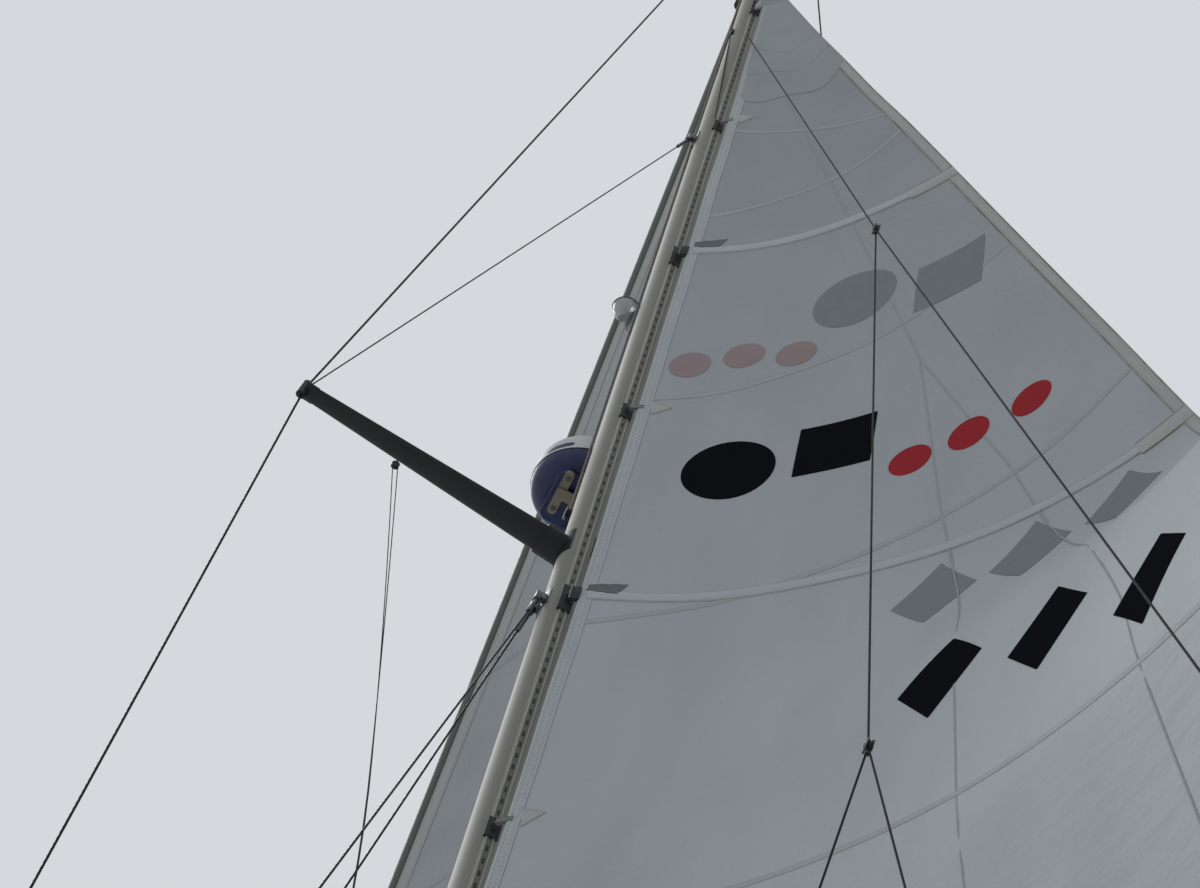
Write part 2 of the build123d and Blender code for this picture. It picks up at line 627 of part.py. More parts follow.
def halyard_swivel():
    ring = Pos(0, 0, SWIVEL_LOW) * Cylinder(SWIVEL_RADIUS, SWIVEL_HEIGHT, align=BASE)
    oval = Rot(0, 0, FOIL_TURN) * Ellipse(FOIL_WIDTH / 2 + SEAT, FOIL_CHORD / 2 + SEAT)
    hole = extrude(oval, SWIVEL_HEIGHT)
    return forestay_frame() * (ring - Pos(0, 0, SWIVEL_LOW) * hole)


def cloth_face(luff, leech, belly):
    """Thin closed section of a sail between two points, bowed to leeward."""
    start, end = Vector(*luff), Vector(*leech)
    chord = end - start
    lee = Vector(-chord.Y, chord.X, 0).normalized()
    if lee.Y > 0:
        lee = lee * -1
    half = lee * (SAIL_THICK / 2)
    middle = (start + end) * 0.5 + lee * belly
    outer = ThreePointArc(start + half, middle + half, end + half)
    inner = ThreePointArc(end - half, middle - half, start - half)
    edges = [outer, Line(end + half, end - half), inner, Line(start - half, start + half)]
    return make_face(edges)


def main_corner(z, chord, angle, rise):
    """Leech end of a section of the mainsail."""
    turn = radians(angle)
    lift = radians(rise)
    return (LUFF_X - chord * cos(turn) * cos(lift), -chord * sin(turn) * cos(lift), z + chord * sin(lift))


def mainsail():
    faces = []
    for z, chord, angle, camber, rise in MAIN_SECTIONS:
        faces.append(cloth_face((LUFF_X, 0, z), main_corner(z, chord, angle, rise), camber * chord))
    return loft(faces, ruled=True)


def headboard():
    """Tapered plate on the head of the mainsail."""
    chord, angle = MAIN_SECTIONS[-1][1:3]
    foot = HEAD_Z + SEAT
    outline = Polyline((0, foot), (-chord, foot), (-HEADBOARD_TOP, foot + HEADBOARD_HEIGHT),
                       (0, foot + HEADBOARD_HEIGHT), close=True)
    plate = extrude(make_face(Plane.XZ * outline), HEADBOARD_THICK / 2, both=True)
    return Pos(LUFF_X, 0, 0) * Rot(0, 0, angle) * plate


def headsail():
    """Jib on the luff foil, set to starboard inside the shrouds."""
    frame = forestay_frame()
    aft = FOIL_CHORD / 2 + SEAT + SAIL_THICK / 2
    along = frame.z_dir
    back = Vector(0, 1, 0).cross(along)
    if back.X > 0:
        back = back * -1
    turn = radians(FOIL_TURN)
    entry = back * cos(turn) + Vector(0, -1, 0) * sin(turn)
    base = Vector(*FORESTAY_FOOT) + entry * aft
    head = base + along * JIB_HEAD + back * JIB_HEAD_CHORD
    clew = Vector(*JIB_CLEW)
    faces = []
    for luff_share, leech_share, camber in JIB_SECTIONS:
        luff = base + along * (JIB_TACK + (JIB_HEAD - JIB_TACK) * luff_share)
        leech = clew + (head - clew) * leech_share
        faces.append(cloth_face(tuple(luff), tuple(leech), camber * (leech - luff).length))
    return loft(faces, ruled=True)


def radome_base():
    """Lower cover, curving out from its flat to the joint, with a raised pad under it."""
    bottom = RADOME_Z + BOSS_THICK
    joint = RADOME_Z + RADOME_BASE_HEIGHT
    curve = (RADOME_RADIUS - BASE_CURVE_IN, bottom + BASE_CURVE_UP)
    profile = [
        Line((0, bottom), (RADOME_FLAT, bottom)),
        ThreePointArc((RADOME_FLAT, bottom), curve, (RADOME_RADIUS, joint)),
        Line((RADOME_RADIUS, joint), (0, joint)),
        Line((0, joint), (0, bottom)),
    ]
    pad = RectangleRounded(BOSS_LENGTH, BOSS_WIDTH, BOSS_CORNER)
    pad = Pos(0, 0, RADOME_Z) * extrude(pad, 2 * BOSS_THICK)
    pad = chamfer(pad.edges().group_by(Axis.Z)[0], BOSS_THICK / 3)
    return Pos(RADOME_X, 0, 0) * (revolve(Plane.XZ * make_face(profile), Axis.Z) + pad)


def radome_top():
    """White half: a nearly upright wall, a shoulder arc and a shallow ball-shaped crown."""
    joint = RADOME_Z + RADOME_BASE_HEIGHT
    top = joint + RADOME_TOP_HEIGHT
    ball = (RADOME_FLAT ** 2 + RADOME_CROWN ** 2) / (2 * RADOME_CROWN)
    half_way = top - ball + sqrt(ball ** 2 - (RADOME_FLAT / 2) ** 2)
    shoulder = top - RADOME_CROWN
    curve = (RADOME_RADIUS - SHOULDER_IN, shoulder - SHOULDER_DOWN)
    profile = [
        Line((0, joint), (RADOME_RADIUS, joint)),
        Line((RADOME_RADIUS, joint), (RADOME_RADIUS - RADOME_DRAFT, joint + RADOME_WALL)),
        ThreePointArc((RADOME_RADIUS - RADOME_DRAFT, joint + RADOME_WALL), curve, (RADOME_FLAT, shoulder)),
        ThreePointArc((RADOME_FLAT, shoulder), (RADOME_FLAT / 2, half_way), (0, top)),
        Line((0, top), (0, joint)),
    ]
    return Pos(RADOME_X, 0, 0) * revolve(Plane.XZ * make_face(profile), Axis.Z)


def radome_bracket():
    """Two drilled rails on a tray with gussets, carried by a saddle on the front of the mast."""
    front = MAST_CHORD / 2
    top = RADOME_Z - RAIL_THICK
    plate = saddle((front, 0), (NOSE_SADDLE, MAST_BEAM), top - TRAY_DROP, top, TANG_PLATE)
    rail = extrude(SlotOverall(RAIL_LENGTH, RAIL_WIDTH), RAIL_THICK)
    rail -= GridLocations(RAIL_BOLT_PITCH, 1, 2, 1) * Cylinder(RAIL_BOLT_RADIUS, RAIL_THICK, align=BASE)
    rails = [Pos(RAIL_X, side * RAIL_Y, top) * rail for side in (PORT, STARBOARD)]
    length = RAIL_X + TRAY_WIDTH / 4 - front
    arm = Box(length, 2 * TRAY_DROP / 3, TRAY_THICK, align=BASE)
    arm = Pos(front + length / 2, 0, top - TRAY_THICK) * arm
    cross = Pos(RAIL_X, 0, top - TRAY_THICK) * Box(TRAY_WIDTH / 4, TRAY_WIDTH, TRAY_THICK, align=BASE)
    outline = Polyline((front * 0.8, top - TRAY_DROP), (RADOME_X, top - TRAY_THICK),
                       (front * 0.8, top - TRAY_THICK), close=True)
    web = extrude(make_face(Plane.XZ * outline), TANG_PLATE / 2, both=True)
    body = plate + arm + cross + Pos(0, WEB_OFFSET, 0) * web + Pos(0, -WEB_OFFSET, 0) * web
    return off_the_mast(body + rails[0] + rails[1], top - 2 * TRAY_DROP, top + TRAY_DROP)


def lamp_place(shape):
    """Turns a shape made ahead of the mast round to the lamp's place on its port bow."""
    return Rot(0, 0, LAMP_ANGLE) * shape


def steaming_light():
    """Bowl-shaped lamp with a ball-shaped crown, on a short neck."""
    crown = LAMP_HEIGHT - LAMP_BOWL - LAMP_NECK_HEIGHT
    neck_top = LAMP_Z + LAMP_NECK_HEIGHT
    rim = neck_top + LAMP_BOWL
    bowl_side = (LAMP_RADIUS * 0.82, neck_top + LAMP_BOWL * 0.42)
    ball = (LAMP_RADIUS ** 2 + crown ** 2) / (2 * crown)
    crown_side = (LAMP_RADIUS / 2, rim + crown - ball + sqrt(ball ** 2 - (LAMP_RADIUS / 2) ** 2))
    profile = [
        Line((0, LAMP_Z), (LAMP_NECK, LAMP_Z)),
        Line((LAMP_NECK, LAMP_Z), (LAMP_NECK, neck_top)),
        ThreePointArc((LAMP_NECK, neck_top), bowl_side, (LAMP_RADIUS, rim)),
        ThreePointArc((LAMP_RADIUS, rim), crown_side, (0, rim + crown)),
        Line((0, rim + crown), (0, LAMP_Z)),
    ]
    return lamp_place(Pos(LAMP_OUT, 0, 0) * revolve(Plane.XZ * make_face(profile), Axis.Z))


def lamp_bracket():
    """Bowed strap from a saddle on the mast up to the seat under the lamp."""
    inner = MAST_BEAM / 2
    foot = LAMP_Z - LAMP_FOOT
    seat = LAMP_Z - SEAT
    bow = (LAMP_BOW_OUT, foot + LAMP_FOOT * 0.45)
    strap = make_face([
        ThreePointArc((inner, foot), bow, (LAMP_BOW_IN, seat - LAMP_STRAP)),
        Line((LAMP_BOW_IN, seat - LAMP_STRAP), (LAMP_OUT + LAMP_NECK, seat - LAMP_STRAP)),
        Line((LAMP_OUT + LAMP_NECK, seat - LAMP_STRAP), (LAMP_OUT + LAMP_NECK, seat)),
        Line((LAMP_OUT + LAMP_NECK, seat), (inner, seat)),
        Line((inner, seat), (inner, seat - LAMP_STRAP)),
        Line((inner, seat - LAMP_STRAP), (LAMP_BOW_IN - LAMP_STRAP, seat - LAMP_STRAP)),
        ThreePointArc((LAMP_BOW_IN - LAMP_STRAP, seat - LAMP_STRAP), (LAMP_BOW_OUT - LAMP_STRAP, bow[1]),
                      (inner, foot + 2 * LAMP_STRAP)),
        Line((inner, foot + 2 * LAMP_STRAP), (inner, foot)),
    ])
    hoop = lamp_place(extrude(Plane.XZ * strap, LAMP_STRAP_WIDTH / 2, both=True))
    centre = (LAMP_SADDLE_AT * cos(radians(LAMP_ANGLE)), LAMP_SADDLE_AT * sin(radians(LAMP_ANGLE)))
    plate = saddle(centre, (LAMP_SADDLE, LAMP_SADDLE), foot - LAMP_STRAP, seat, TANG_PLATE)
    return off_the_mast(plate + hoop, LAMP_Z - 2 * LAMP_FOOT, LAMP_Z + 2 * LAMP_HEIGHT)


def swing_bracket(middle):
    """Two lugs and a vertical pin behind the mast, on the swing axis."""
    aft = -MAST_CHORD / 2
    half = LUG_GAP / 2
    plate = saddle((aft, 0), (MAST_CHORD / 2, MAST_BEAM * 0.7), middle - half - 3 * LUG_THICK,
                   middle + half + 3 * LUG_THICK, TANG_PLATE)
    reach = aft * 0.8 - LUFF_X
    lug = Pos(LUFF_X + reach / 2, 0, 0) * Box(reach, 2 * LUG_RADIUS, LUG_THICK)
    lug += Pos(LUFF_X, 0, 0) * Cylinder(LUG_RADIUS, LUG_THICK)
    shift = half + LUG_THICK / 2
    body = plate + Pos(0, 0, middle + shift) * lug + Pos(0, 0, middle - shift) * lug
    pin = Pos(LUFF_X, 0, middle) * Cylinder(SWING_PIN, LUG_GAP + 3 * LUG_THICK)
    return off_the_mast(body + pin, middle - 2 * LUG_GAP, middle + 2 * LUG_GAP)


def boom_toggle():
    """Block on the gooseneck pin with a tongue for the boom."""
    barrel = Cylinder(TOGGLE_RADIUS, LUG_GAP - 2 * SEAT)
    tongue = Pos(-LIFT_PIN_AT / 2, 0, 0) * Box(LIFT_PIN_AT, TONGUE, 2 * EYE_RADIUS)
    eye = Pos(-LIFT_PIN_AT, 0, 0) * Rot(90, 0, 0) * Cylinder(EYE_RADIUS, TONGUE)
    hole = Pos(-LIFT_PIN_AT, 0, 0) * Rot(90, 0, 0) * Cylinder(SWING_PIN + SEAT, 2 * TONGUE)
    bore = Cylinder(SWING_PIN + SPIN_FIT, LUG_GAP)
    return boom_place(Pos(0, 0, BOOM_Z) * (barrel + tongue + eye - hole - bore))


def vang_slope():
    """Start, end and direction of the vang in the plane of the boom."""
    start = (-LIFT_PIN_AT, 0, VANG_Z)
    end = (-VANG_AT, 0, BOOM_Z - BOOM_HEIGHT / 2 - VANG_DROP)
    return start, end


def vang_toggle():
    start, end = vang_slope()
    barrel = Pos(0, 0, VANG_Z) * Cylinder(TOGGLE_RADIUS, LUG_GAP - 2 * SEAT)
    neck = Pos(-LIFT_PIN_AT / 2, 0, VANG_Z) * Box(LIFT_PIN_AT, TONGUE, 2 * EYE_RADIUS)
    cup_end = point_towards(start, end, VANG_SOCKET)
    cup = rod(point_towards(start, end, -EYE_RADIUS), cup_end, VANG_TUBE * 0.8)
    cup -= Pos(0, 0, VANG_Z) * Cylinder(LUG_RADIUS + CUP_CLEARANCE, 2 * LUG_GAP) - barrel
    bore = Pos(0, 0, VANG_Z) * Cylinder(SWING_PIN + SPIN_FIT, LUG_GAP)
    return boom_place(barrel + neck + cup - bore)


def vang_tube():
    start, end = vang_slope()
    low = point_towards(start, end, VANG_SOCKET)
    high = point_towards(start, end, VANG_SOCKET + VANG_TUBE_LENGTH)
    return boom_place(rod(low, high, VANG_TUBE))


def vang_rod():
    start, end = vang_slope()
    low = point_towards(start, end, VANG_SOCKET + VANG_TUBE_LENGTH)
    eye = Pos(*end) * Rot(90, 0, 0) * Cylinder(EYE_RADIUS, TONGUE / 2)
    hole = Pos(*end) * Rot(90, 0, 0) * Cylinder(SWING_PIN + SEAT, TONGUE)
    shank_end = point_towards(end, start, VANG_NECK)
    line = Vector(*end) - Vector(*shank_end)
    neck = Plane(origin=shank_end, x_dir=(0, 1, 0), z_dir=line) * Box(
        TONGUE / 2, 1.4 * EYE_RADIUS, line.length, align=BASE)
    return boom_place(rod(low, shank_end, VANG_ROD) + neck + eye - hole)


def boom_section(grow):
    """Upright oval of the boom, in the plane across it."""
    return Plane.YZ * Ellipse(BOOM_BEAM / 2 + grow, BOOM_HEIGHT / 2 + grow)


def boom_solid(grow, near, far):
    return Pos(-far, 0, BOOM_Z) * extrude(boom_section(grow), far - near)


def vang_lug():
    """Saddle under the boom with two ears and the vang's upper pin."""
    end = vang_slope()[1]
    near = VANG_AT - VANG_SADDLE / 2
    far = VANG_AT + VANG_SADDLE / 2
    shell = boom_solid(SEAT + TANG_PLATE, near, far) - boom_solid(SEAT, near, far)
    shell &= Pos(-VANG_AT, 0, BOOM_Z - BOOM_HEIGHT) * Box(
        2 * VANG_SADDLE, 2 * BOOM_BEAM, BOOM_HEIGHT * 0.75, align=BASE)
    ear_thick = TANG_PLATE * 1.5
    ear = Rot(90, 0, 0) * Cylinder(EYE_RADIUS, ear_thick)
    ear += Box(1.6 * EYE_RADIUS, ear_thick, VANG_NECK, align=BASE)
    shift = TONGUE / 4 + SEAT + ear_thick / 2
    pin = Rot(90, 0, 0) * Cylinder(SWING_PIN, TONGUE + 4 * TANG_PLATE)
    ears = Pos(*end) * (Pos(0, shift, 0) * ear + Pos(0, -shift, 0) * ear + pin)
    return boom_place(shell + ears - boom_solid(SEAT, near, far))


def boom_tube():
    tube = boom_solid(0, BOOM_START, BOOM_END) - boom_solid(-BOOM_WALL, BOOM_START, BOOM_END)
    return boom_place(tube)


def boom_fore_end():
    """Cap with two ears for the gooseneck tongue and a horn for the tack."""
    cap = boom_solid(CAP_LIP, BOOM_START - BOOM_CAP, BOOM_START)
    ear_length = BOOM_START - BOOM_CAP - LIFT_PIN_AT
    ear = Pos(-LIFT_PIN_AT, 0, 0) * Rot(90, 0, 0) * Cylinder(EYE_RADIUS, LUG_THICK)
    ear += Pos(-LIFT_PIN_AT - ear_length / 2, 0, 0) * Box(ear_length, LUG_THICK, 2 * EYE_RADIUS)
    shift = TONGUE / 2 + SEAT + LUG_THICK / 2
    pin = Pos(-LIFT_PIN_AT, 0, BOOM_Z) * Rot(90, 0, 0) * Cylinder(
        SWING_PIN, TONGUE + 2 * LUG_THICK + 2 * PIN_PROUD)
    horn_top = TACK_Z - SEAT
    horn = Box(BOOM_CAP, TACK_HORN, horn_top - BOOM_Z, align=BASE)
    body = cap + Pos(0, shift, BOOM_Z) * ear + Pos(0, -shift, BOOM_Z) * ear + pin
    body += Pos(-BOOM_START + BOOM_CAP / 2, 0, BOOM_Z) * horn
    return boom_place(body)


def boom_aft_end():
    """Cap with a sheave box for the outhaul and an eye for the sheet."""
    cap = boom_solid(CAP_LIP, BOOM_END, BOOM_END + BOOM_CAP)
    aft = (Align.MAX, Align.CENTER, Align.CENTER)
    box = Pos(-BOOM_END, 0, BOOM_Z) * Box(
        BOOM_CAP + SHEAVE_BOX / 2, BOOM_BEAM / 2, BOOM_HEIGHT * SHEET_BOX_SHARE, align=aft)
    slot = Pos(-BOOM_END - BOOM_CAP, 0, BOOM_Z) * Box(SHEAVE_BOX, BOOM_BEAM / 4, BOOM_HEIGHT, align=aft)
    return boom_place(cap + box - slot)


def clew_car():
    """Slide on top of the boom that holds the clew."""
    rise = MAIN_SECTIONS[0][4]
    low = BOOM_Z + BOOM_HEIGHT * 0.35
    top = TACK_Z + (CLEW_AT - CLEW_CAR_LENGTH / 4) * sin(radians(rise)) - SEAT / 2
    slide_height = BOOM_Z + BOOM_HEIGHT / 2 + CLEW_CAR_TOP - low
    slide = Pos(-CLEW_AT, 0, low) * Box(CLEW_CAR_LENGTH, CLEW_CAR_WIDTH, slide_height, align=BASE)
    post = Pos(-CLEW_AT, 0, low) * Box(CLEW_CAR_LENGTH / 2, CLEW_CAR_WIDTH, top - low, align=BASE)
    return boom_place(slide + post - boom_solid(SEAT, CLEW_AT - CLEW_CAR_LENGTH, CLEW_AT + CLEW_CAR_LENGTH))


def winch_frame(side):
    """Plane on the centreline, Z out to one side."""
    return Plane(origin=(0, 0, WINCH_Z), x_dir=(1, 0, 0), z_dir=(0, side, 0))


def winch_base(side):
    frame = winch_frame(side)
    pad = Pos(0, 0, WINCH_PAD_OUT) * Cone(WINCH_PAD * 1.1, WINCH_PAD, WINCH_PAD_OUT, align=(
        Align.CENTER, Align.CENTER, Align.MAX))
    shaft = Pos(0, 0, WINCH_PAD_OUT) * Cylinder(WINCH_SHAFT, WINCH_LENGTH * 0.8, align=BASE)
    return off_the_mast(frame * (pad + shaft), WINCH_Z - 2 * WINCH_PAD, WINCH_Z + 2 * WINCH_PAD) & (
        frame * Box(4 * WINCH_PAD, 4 * WINCH_PAD, 4 * WINCH_LENGTH, align=BASE))


def winch_drum(side):
    """Waisted drum on the shaft, with a skirt, a crown and a drive socket."""
    low = WINCH_PAD_OUT + WINCH_LIFT
    top = low + WINCH_LENGTH
    profile = [
        Line((0, low), (WINCH_BASE, low)),
        Line((WINCH_BASE, low), (WINCH_BASE, low + WINCH_LENGTH * 0.16)),
        ThreePointArc((WINCH_BASE, low + WINCH_LENGTH * 0.16), (WINCH_WAIST, low + WINCH_LENGTH * 0.45),
                      (WINCH_CROWN, low + WINCH_LENGTH * 0.78)),
        Line((WINCH_CROWN, low + WINCH_LENGTH * 0.78), (WINCH_CROWN, top)),
        Line((WINCH_CROWN, top), (0, top)),
        Line((0, top), (0, low)),
    ]
    body = revolve(Plane.XZ * make_face(profile), Axis.Z)
    bore = Pos(0, 0, low) * Cylinder(WINCH_SHAFT + SPIN_FIT, WINCH_LENGTH * 0.8 + WINCH_LIFT, align=BASE)
    return winch_frame(side) * (body - bore)


def build():
    """Every node by name, as one solid or a list of solids."""
    nodes = {"mast_heel": mast_heel(), "mast_tube": mast_tube(), "luff_track": luff_track(),
             "luff_cars": luff_cars(), "masthead": masthead(), "masthead_sheaves": sheaves(),
             "masthead_light": masthead_light(), "aerial": aerial(), "wind_vane": wind_vane()}
    tangs = []
    toggles = {PORT: [], STARBOARD: [], 0: []}
    barrels = {PORT: [], STARBOARD: [], 0: []}
    ends = {PORT: [], STARBOARD: [], 0: []}
    for name, side, foot, anchor, wire in stay_table():
        head = anchor
        if name.startswith("cap_shroud"):
            head = tuple(spreader_tip(side))
        frame = stay_frame(foot, head)
        toggles[side].append(toggle(frame))
        barrels[side].append(turnbuckle(frame))
        ends[side].append(swage(frame, FITTED, wire))
        start = point_towards(foot, head, FITTED + SWAGE_LENGTH)
        if name.startswith("cap_shroud"):
            tip = head
            reach = TIP_HEIGHT / 2 + 2 * SEAT
            lower = rod(start, point_towards(tip, foot, reach), wire)
            boss = point_towards(anchor, tip, TANG_LENGTH)
            upper = rod(point_towards(tip, anchor, reach), point_towards(boss, tip, SWAGE_LENGTH), wire)
            ends[side].append(rod(boss, point_towards(boss, tip, SWAGE_LENGTH), wire + SWAGE_EXTRA))
            nodes[name] = [lower, upper]
            tangs.append(tang(side, anchor[0], anchor[2], tip))
        else:
            boss = point_towards(anchor, foot, TANG_LENGTH)
            low = point_towards(boss, foot, SWAGE_LENGTH)
            ends[side].append(rod(boss, low, wire + SWAGE_EXTRA))
            nodes[name] = rod(start, low, wire)
    for side, name in ((PORT, "port"), (STARBOARD, "starboard")):
        lowers = [tang(side, x, LOWER_ANCHOR_Z, (x_foot, side * LOWER_FOOT_Y, DECK_Z))
                  for x, x_foot in ((LOWER_ANCHOR_X, FORE_LOWER_X), (-LOWER_ANCHOR_X, AFT_LOWER_X))]
        tangs.append(lowers[0] + lowers[1])
        anchor = (0, side * (mast_side(0) + ANCHOR_OFF), INNER_ANCHOR_Z)
        frame = tip_frame(side)
        tip_top = frame.from_local_coords(Vector(0, 0, TIP_HEIGHT / 2))
        seat = tuple(tip_top - Vector(0, side * INNER_SEAT_IN, 0))
        low = point_towards(seat, anchor, 4 * SEAT)
        boss = point_towards(anchor, low, TANG_LENGTH)
        wire_top = point_towards(boss, low, SWAGE_LENGTH)
        nodes[f"inner_stay_{name}"] = rod(low, wire_top, INNER_WIRE)
        ends[side].append(rod(boss, wire_top, INNER_WIRE + SWAGE_EXTRA))
        tangs.append(tang(side, 0, INNER_ANCHOR_Z, seat))
        nodes[f"spreader_{name}"] = spreader(side)
        nodes[f"spreader_bracket_{name}"] = spreader_bracket(side)
        nodes[f"spreader_tip_{name}"] = tip_fitting(side)
        nodes[f"winch_drum_{name}"] = winch_drum(side)
    front = MAST_CHORD / 2
    baby = (front + ANCHOR_OFF, 0, LOWER_ANCHOR_Z)
    plate = saddle((front, 0), (front, 2 * TANG_WIDTH), LOWER_ANCHOR_Z - TANG_TALL / 2,
                   LOWER_ANCHOR_Z + TANG_TALL / 2, TANG_PLATE)
    arm = Box(ANCHOR_OFF + TANG_WIDTH, TANG_WIDTH, TANG_WIDTH)
    arm = Pos(front + ANCHOR_OFF / 2, 0, LOWER_ANCHOR_Z) * arm
    boss = rod(baby, point_towards(baby, (BABYSTAY_FOOT_X, 0, DECK_Z), TANG_LENGTH), TANG_RADIUS)
    tangs.append(off_the_mast(plate + arm + boss, LOWER_ANCHOR_Z - TANG_TALL, LOWER_ANCHOR_Z + TANG_TALL))
    nodes["tangs"] = tangs

    fore = forestay_frame()
    toggles[0].append(toggle(fore))
    head_down = stay_frame(FORESTAY_HEAD, FORESTAY_FOOT)
    ends[0].append(eye_end(head_down, FORESTAY_WIRE, STAY_PIN_RADIUS))
    nodes["forestay"] = head_down * Pos(0, 0, SWAGE_LENGTH) * Cylinder(
        FORESTAY_WIRE, FOIL_TOP_GAP - SWAGE_LENGTH, align=BASE)
    back = stay_frame(BACKSTAY_FOOT, BACKSTAY_HEAD)
    toggles[0].append(toggle(back))
    barrels[0].append(turnbuckle(back))
    ends[0].append(swage(back, FITTED, CAP_WIRE))
    down = stay_frame(BACKSTAY_HEAD, BACKSTAY_FOOT)
    ends[0].append(eye_end(down, CAP_WIRE, STAY_PIN_RADIUS))
    nodes["backstay"] = rod(point_towards(BACKSTAY_FOOT, BACKSTAY_HEAD, FITTED + SWAGE_LENGTH),
                            point_towards(BACKSTAY_HEAD, BACKSTAY_FOOT, SWAGE_LENGTH), CAP_WIRE)
    for side, name in ((PORT, "port"), (STARBOARD, "starboard"), (0, "centre")):
        nodes[f"toggles_{name}"] = toggles[side]
        nodes[f"turnbuckles_{name}"] = barrels[side]
        nodes[f"stay_ends_{name}"] = ends[side]

    nodes.update({
        "furler_drum": furler_drum(), "luff_foil": luff_foil(), "halyard_swivel": halyard_swivel(),
        "headsail": headsail(), "radome_top": radome_top(), "radome_base": radome_base(),
        "radome_bracket": radome_bracket(), "steaming_light": steaming_light(),
        "lamp_bracket": lamp_bracket(),
        "winch_bases": [winch_base(PORT), winch_base(STARBOARD)],
        "gooseneck_bracket": swing_bracket(BOOM_Z), "vang_bracket": swing_bracket(VANG_Z),
        "boom_tube": boom_tube(), "boom_ends": [boom_fore_end(), boom_aft_end()],
        "boom_toggles": [boom_toggle(), vang_toggle()], "vang_tube": vang_tube(), "vang_rod": vang_rod(),
        "vang_lug": vang_lug(), "clew_car": clew_car(), "mainsail": mainsail(), "headboard": headboard(),
    })
    return nodes


def solids_of(shape):
    """All solids of a node, whether it was given as one shape or as a list."""
    if isinstance(shape, (list, tuple)):
        return [solid for item in shape for solid in solids_of(item)]
    return list(shape.solids())


os.makedirs("parts", exist_ok=True)
for node_name, node_shape in build().items():
    solids = solids_of(node_shape)
    export_step(solids[0] if len(solids) == 1 else Compound(solids), f"parts/{node_name}.step")
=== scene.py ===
import math

import bmesh
import bpy
import numpy as np
from mathutils import Matrix, Vector


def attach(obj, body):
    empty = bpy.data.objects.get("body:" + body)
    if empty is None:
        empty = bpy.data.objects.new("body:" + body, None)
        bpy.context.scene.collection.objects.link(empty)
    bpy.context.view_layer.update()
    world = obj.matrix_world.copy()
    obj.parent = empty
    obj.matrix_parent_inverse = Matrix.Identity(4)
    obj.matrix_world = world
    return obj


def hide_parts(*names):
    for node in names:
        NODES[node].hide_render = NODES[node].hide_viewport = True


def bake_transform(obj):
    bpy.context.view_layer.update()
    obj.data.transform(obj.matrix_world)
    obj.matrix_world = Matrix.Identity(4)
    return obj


bl_info = {
    "name": "Yacht Rig Dressing",
    "version": (1, 0, 0),
    "blender": (4, 5, 0),
    "location": "View3D > Sidebar > Yacht Rig",
    "description": "Sails, lines, fittings and finishes for a yacht's mast and boom",
    "category": "Object",
}

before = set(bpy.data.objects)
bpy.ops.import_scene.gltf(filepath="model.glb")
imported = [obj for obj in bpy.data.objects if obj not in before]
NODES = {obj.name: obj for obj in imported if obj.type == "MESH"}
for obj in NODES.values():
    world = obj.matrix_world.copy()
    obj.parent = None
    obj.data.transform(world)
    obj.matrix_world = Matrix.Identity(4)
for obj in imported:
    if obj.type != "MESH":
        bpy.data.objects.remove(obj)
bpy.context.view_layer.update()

# Shared measures of the rig, in metres, as the solids have them
PORT, STARBOARD = 1, -1
LUFF_X = -0.125
BOOM_Z = 1.05
BOOM_ANGLE = math.radians(20)
HEAD_Z, TACK_Z = 11.48, 1.15
CAR_PITCH = 1.075
LUFF_GAP = 0.030
BATTEN_HEIGHTS = (9.325, 7.175, 3.95, 1.80)
SLIDE_HEIGHTS = (10.4, 8.25, 6.1, 5.025, 2.875)
LUG_HOLE_X = -0.1073
TRACK_FOOT_Z, TRACK_TOP_Z = 1.29, 12.60
TRACK_FACE_X = -0.097
FORESTAY_FOOT = Vector((4.118, 0, 0.105))
FORESTAY_HEAD = Vector((0.12, 0, 13.303))
WINCH_Z, WINCH_FACE_Y = 1.43, 0.2006
MASTHEAD_PINS = ((0.12, 13.303), (-0.305, 13.33), (0.058, 13.333), (-0.058, 13.333))
RADOME_X, RADOME_JOINT_Z, RADOME_RADIUS = 0.292, 8.231, 0.195
LAMP_CENTRE = (0.119, 0.0913, 9.176)
JIB_TACK, JIB_HEAD = 0.430, 12.8999
JIB_CLEW = (0.780, -0.860, 1.450)
JIB_HEAD_CHORD = 0.070
JIB_LUFF_OUT = 0.0263
FOIL_TURN = math.radians(30)
# Foot and head of each stay that has a turnbuckle: cap shrouds, lower shrouds, babystay and backstay
STAYS = [((-0.088, side * 1.205, 0), (-0.105, side * 1.0465, 7.587)) for side in (PORT, STARBOARD)]
STAYS += [((x, side * 1.377, 0), (math.copysign(0.024, x), side * 0.0795, 7.215))
          for x in (0.682, -1.823) for side in (PORT, STARBOARD)]
STAYS += [((1.5, 0, 0), (0.107, 0, 7.215)), ((-5.9, 0, 0.2), (-0.305, 0, 13.33))]

# Mainsail sections: height of the luff end, chord, degrees off the centreline, camber as a share of
# the chord, degrees of rise to the leech
MAIN_ROWS = (
    (TACK_Z, 4.000, 20.0, 0.050, 0.5),
    (2.880, 3.530, 20.5, 0.090, 6.0),
    (5.030, 2.800, 21.5, 0.105, 7.0),
    (6.050, 2.430, 28.0, 0.108, 7.0),
    (7.180, 2.010, 44.5, 0.117, 7.0),
    (9.330, 1.090, 47.0, 0.085, 8.5),
    (HEAD_Z, 0.150, 47.0, 0.010, 0.0),
)
MAIN_STEPS, JIB_STEPS = 340, 300
# Seams as the luff height where they start, their climb to the leech, and how the climb gathers there
SEAMS = ((10.33, -0.32, 1.0), (9.59, 0.26, 1.6), (8.30, 0.41, 1.3), (7.02, 0.57, 1.05), (5.70, -0.70, 1.0),
         (4.20, -0.50, 1.0), (3.10, -0.20, 1.0), (1.95, 0.00, 1.0))
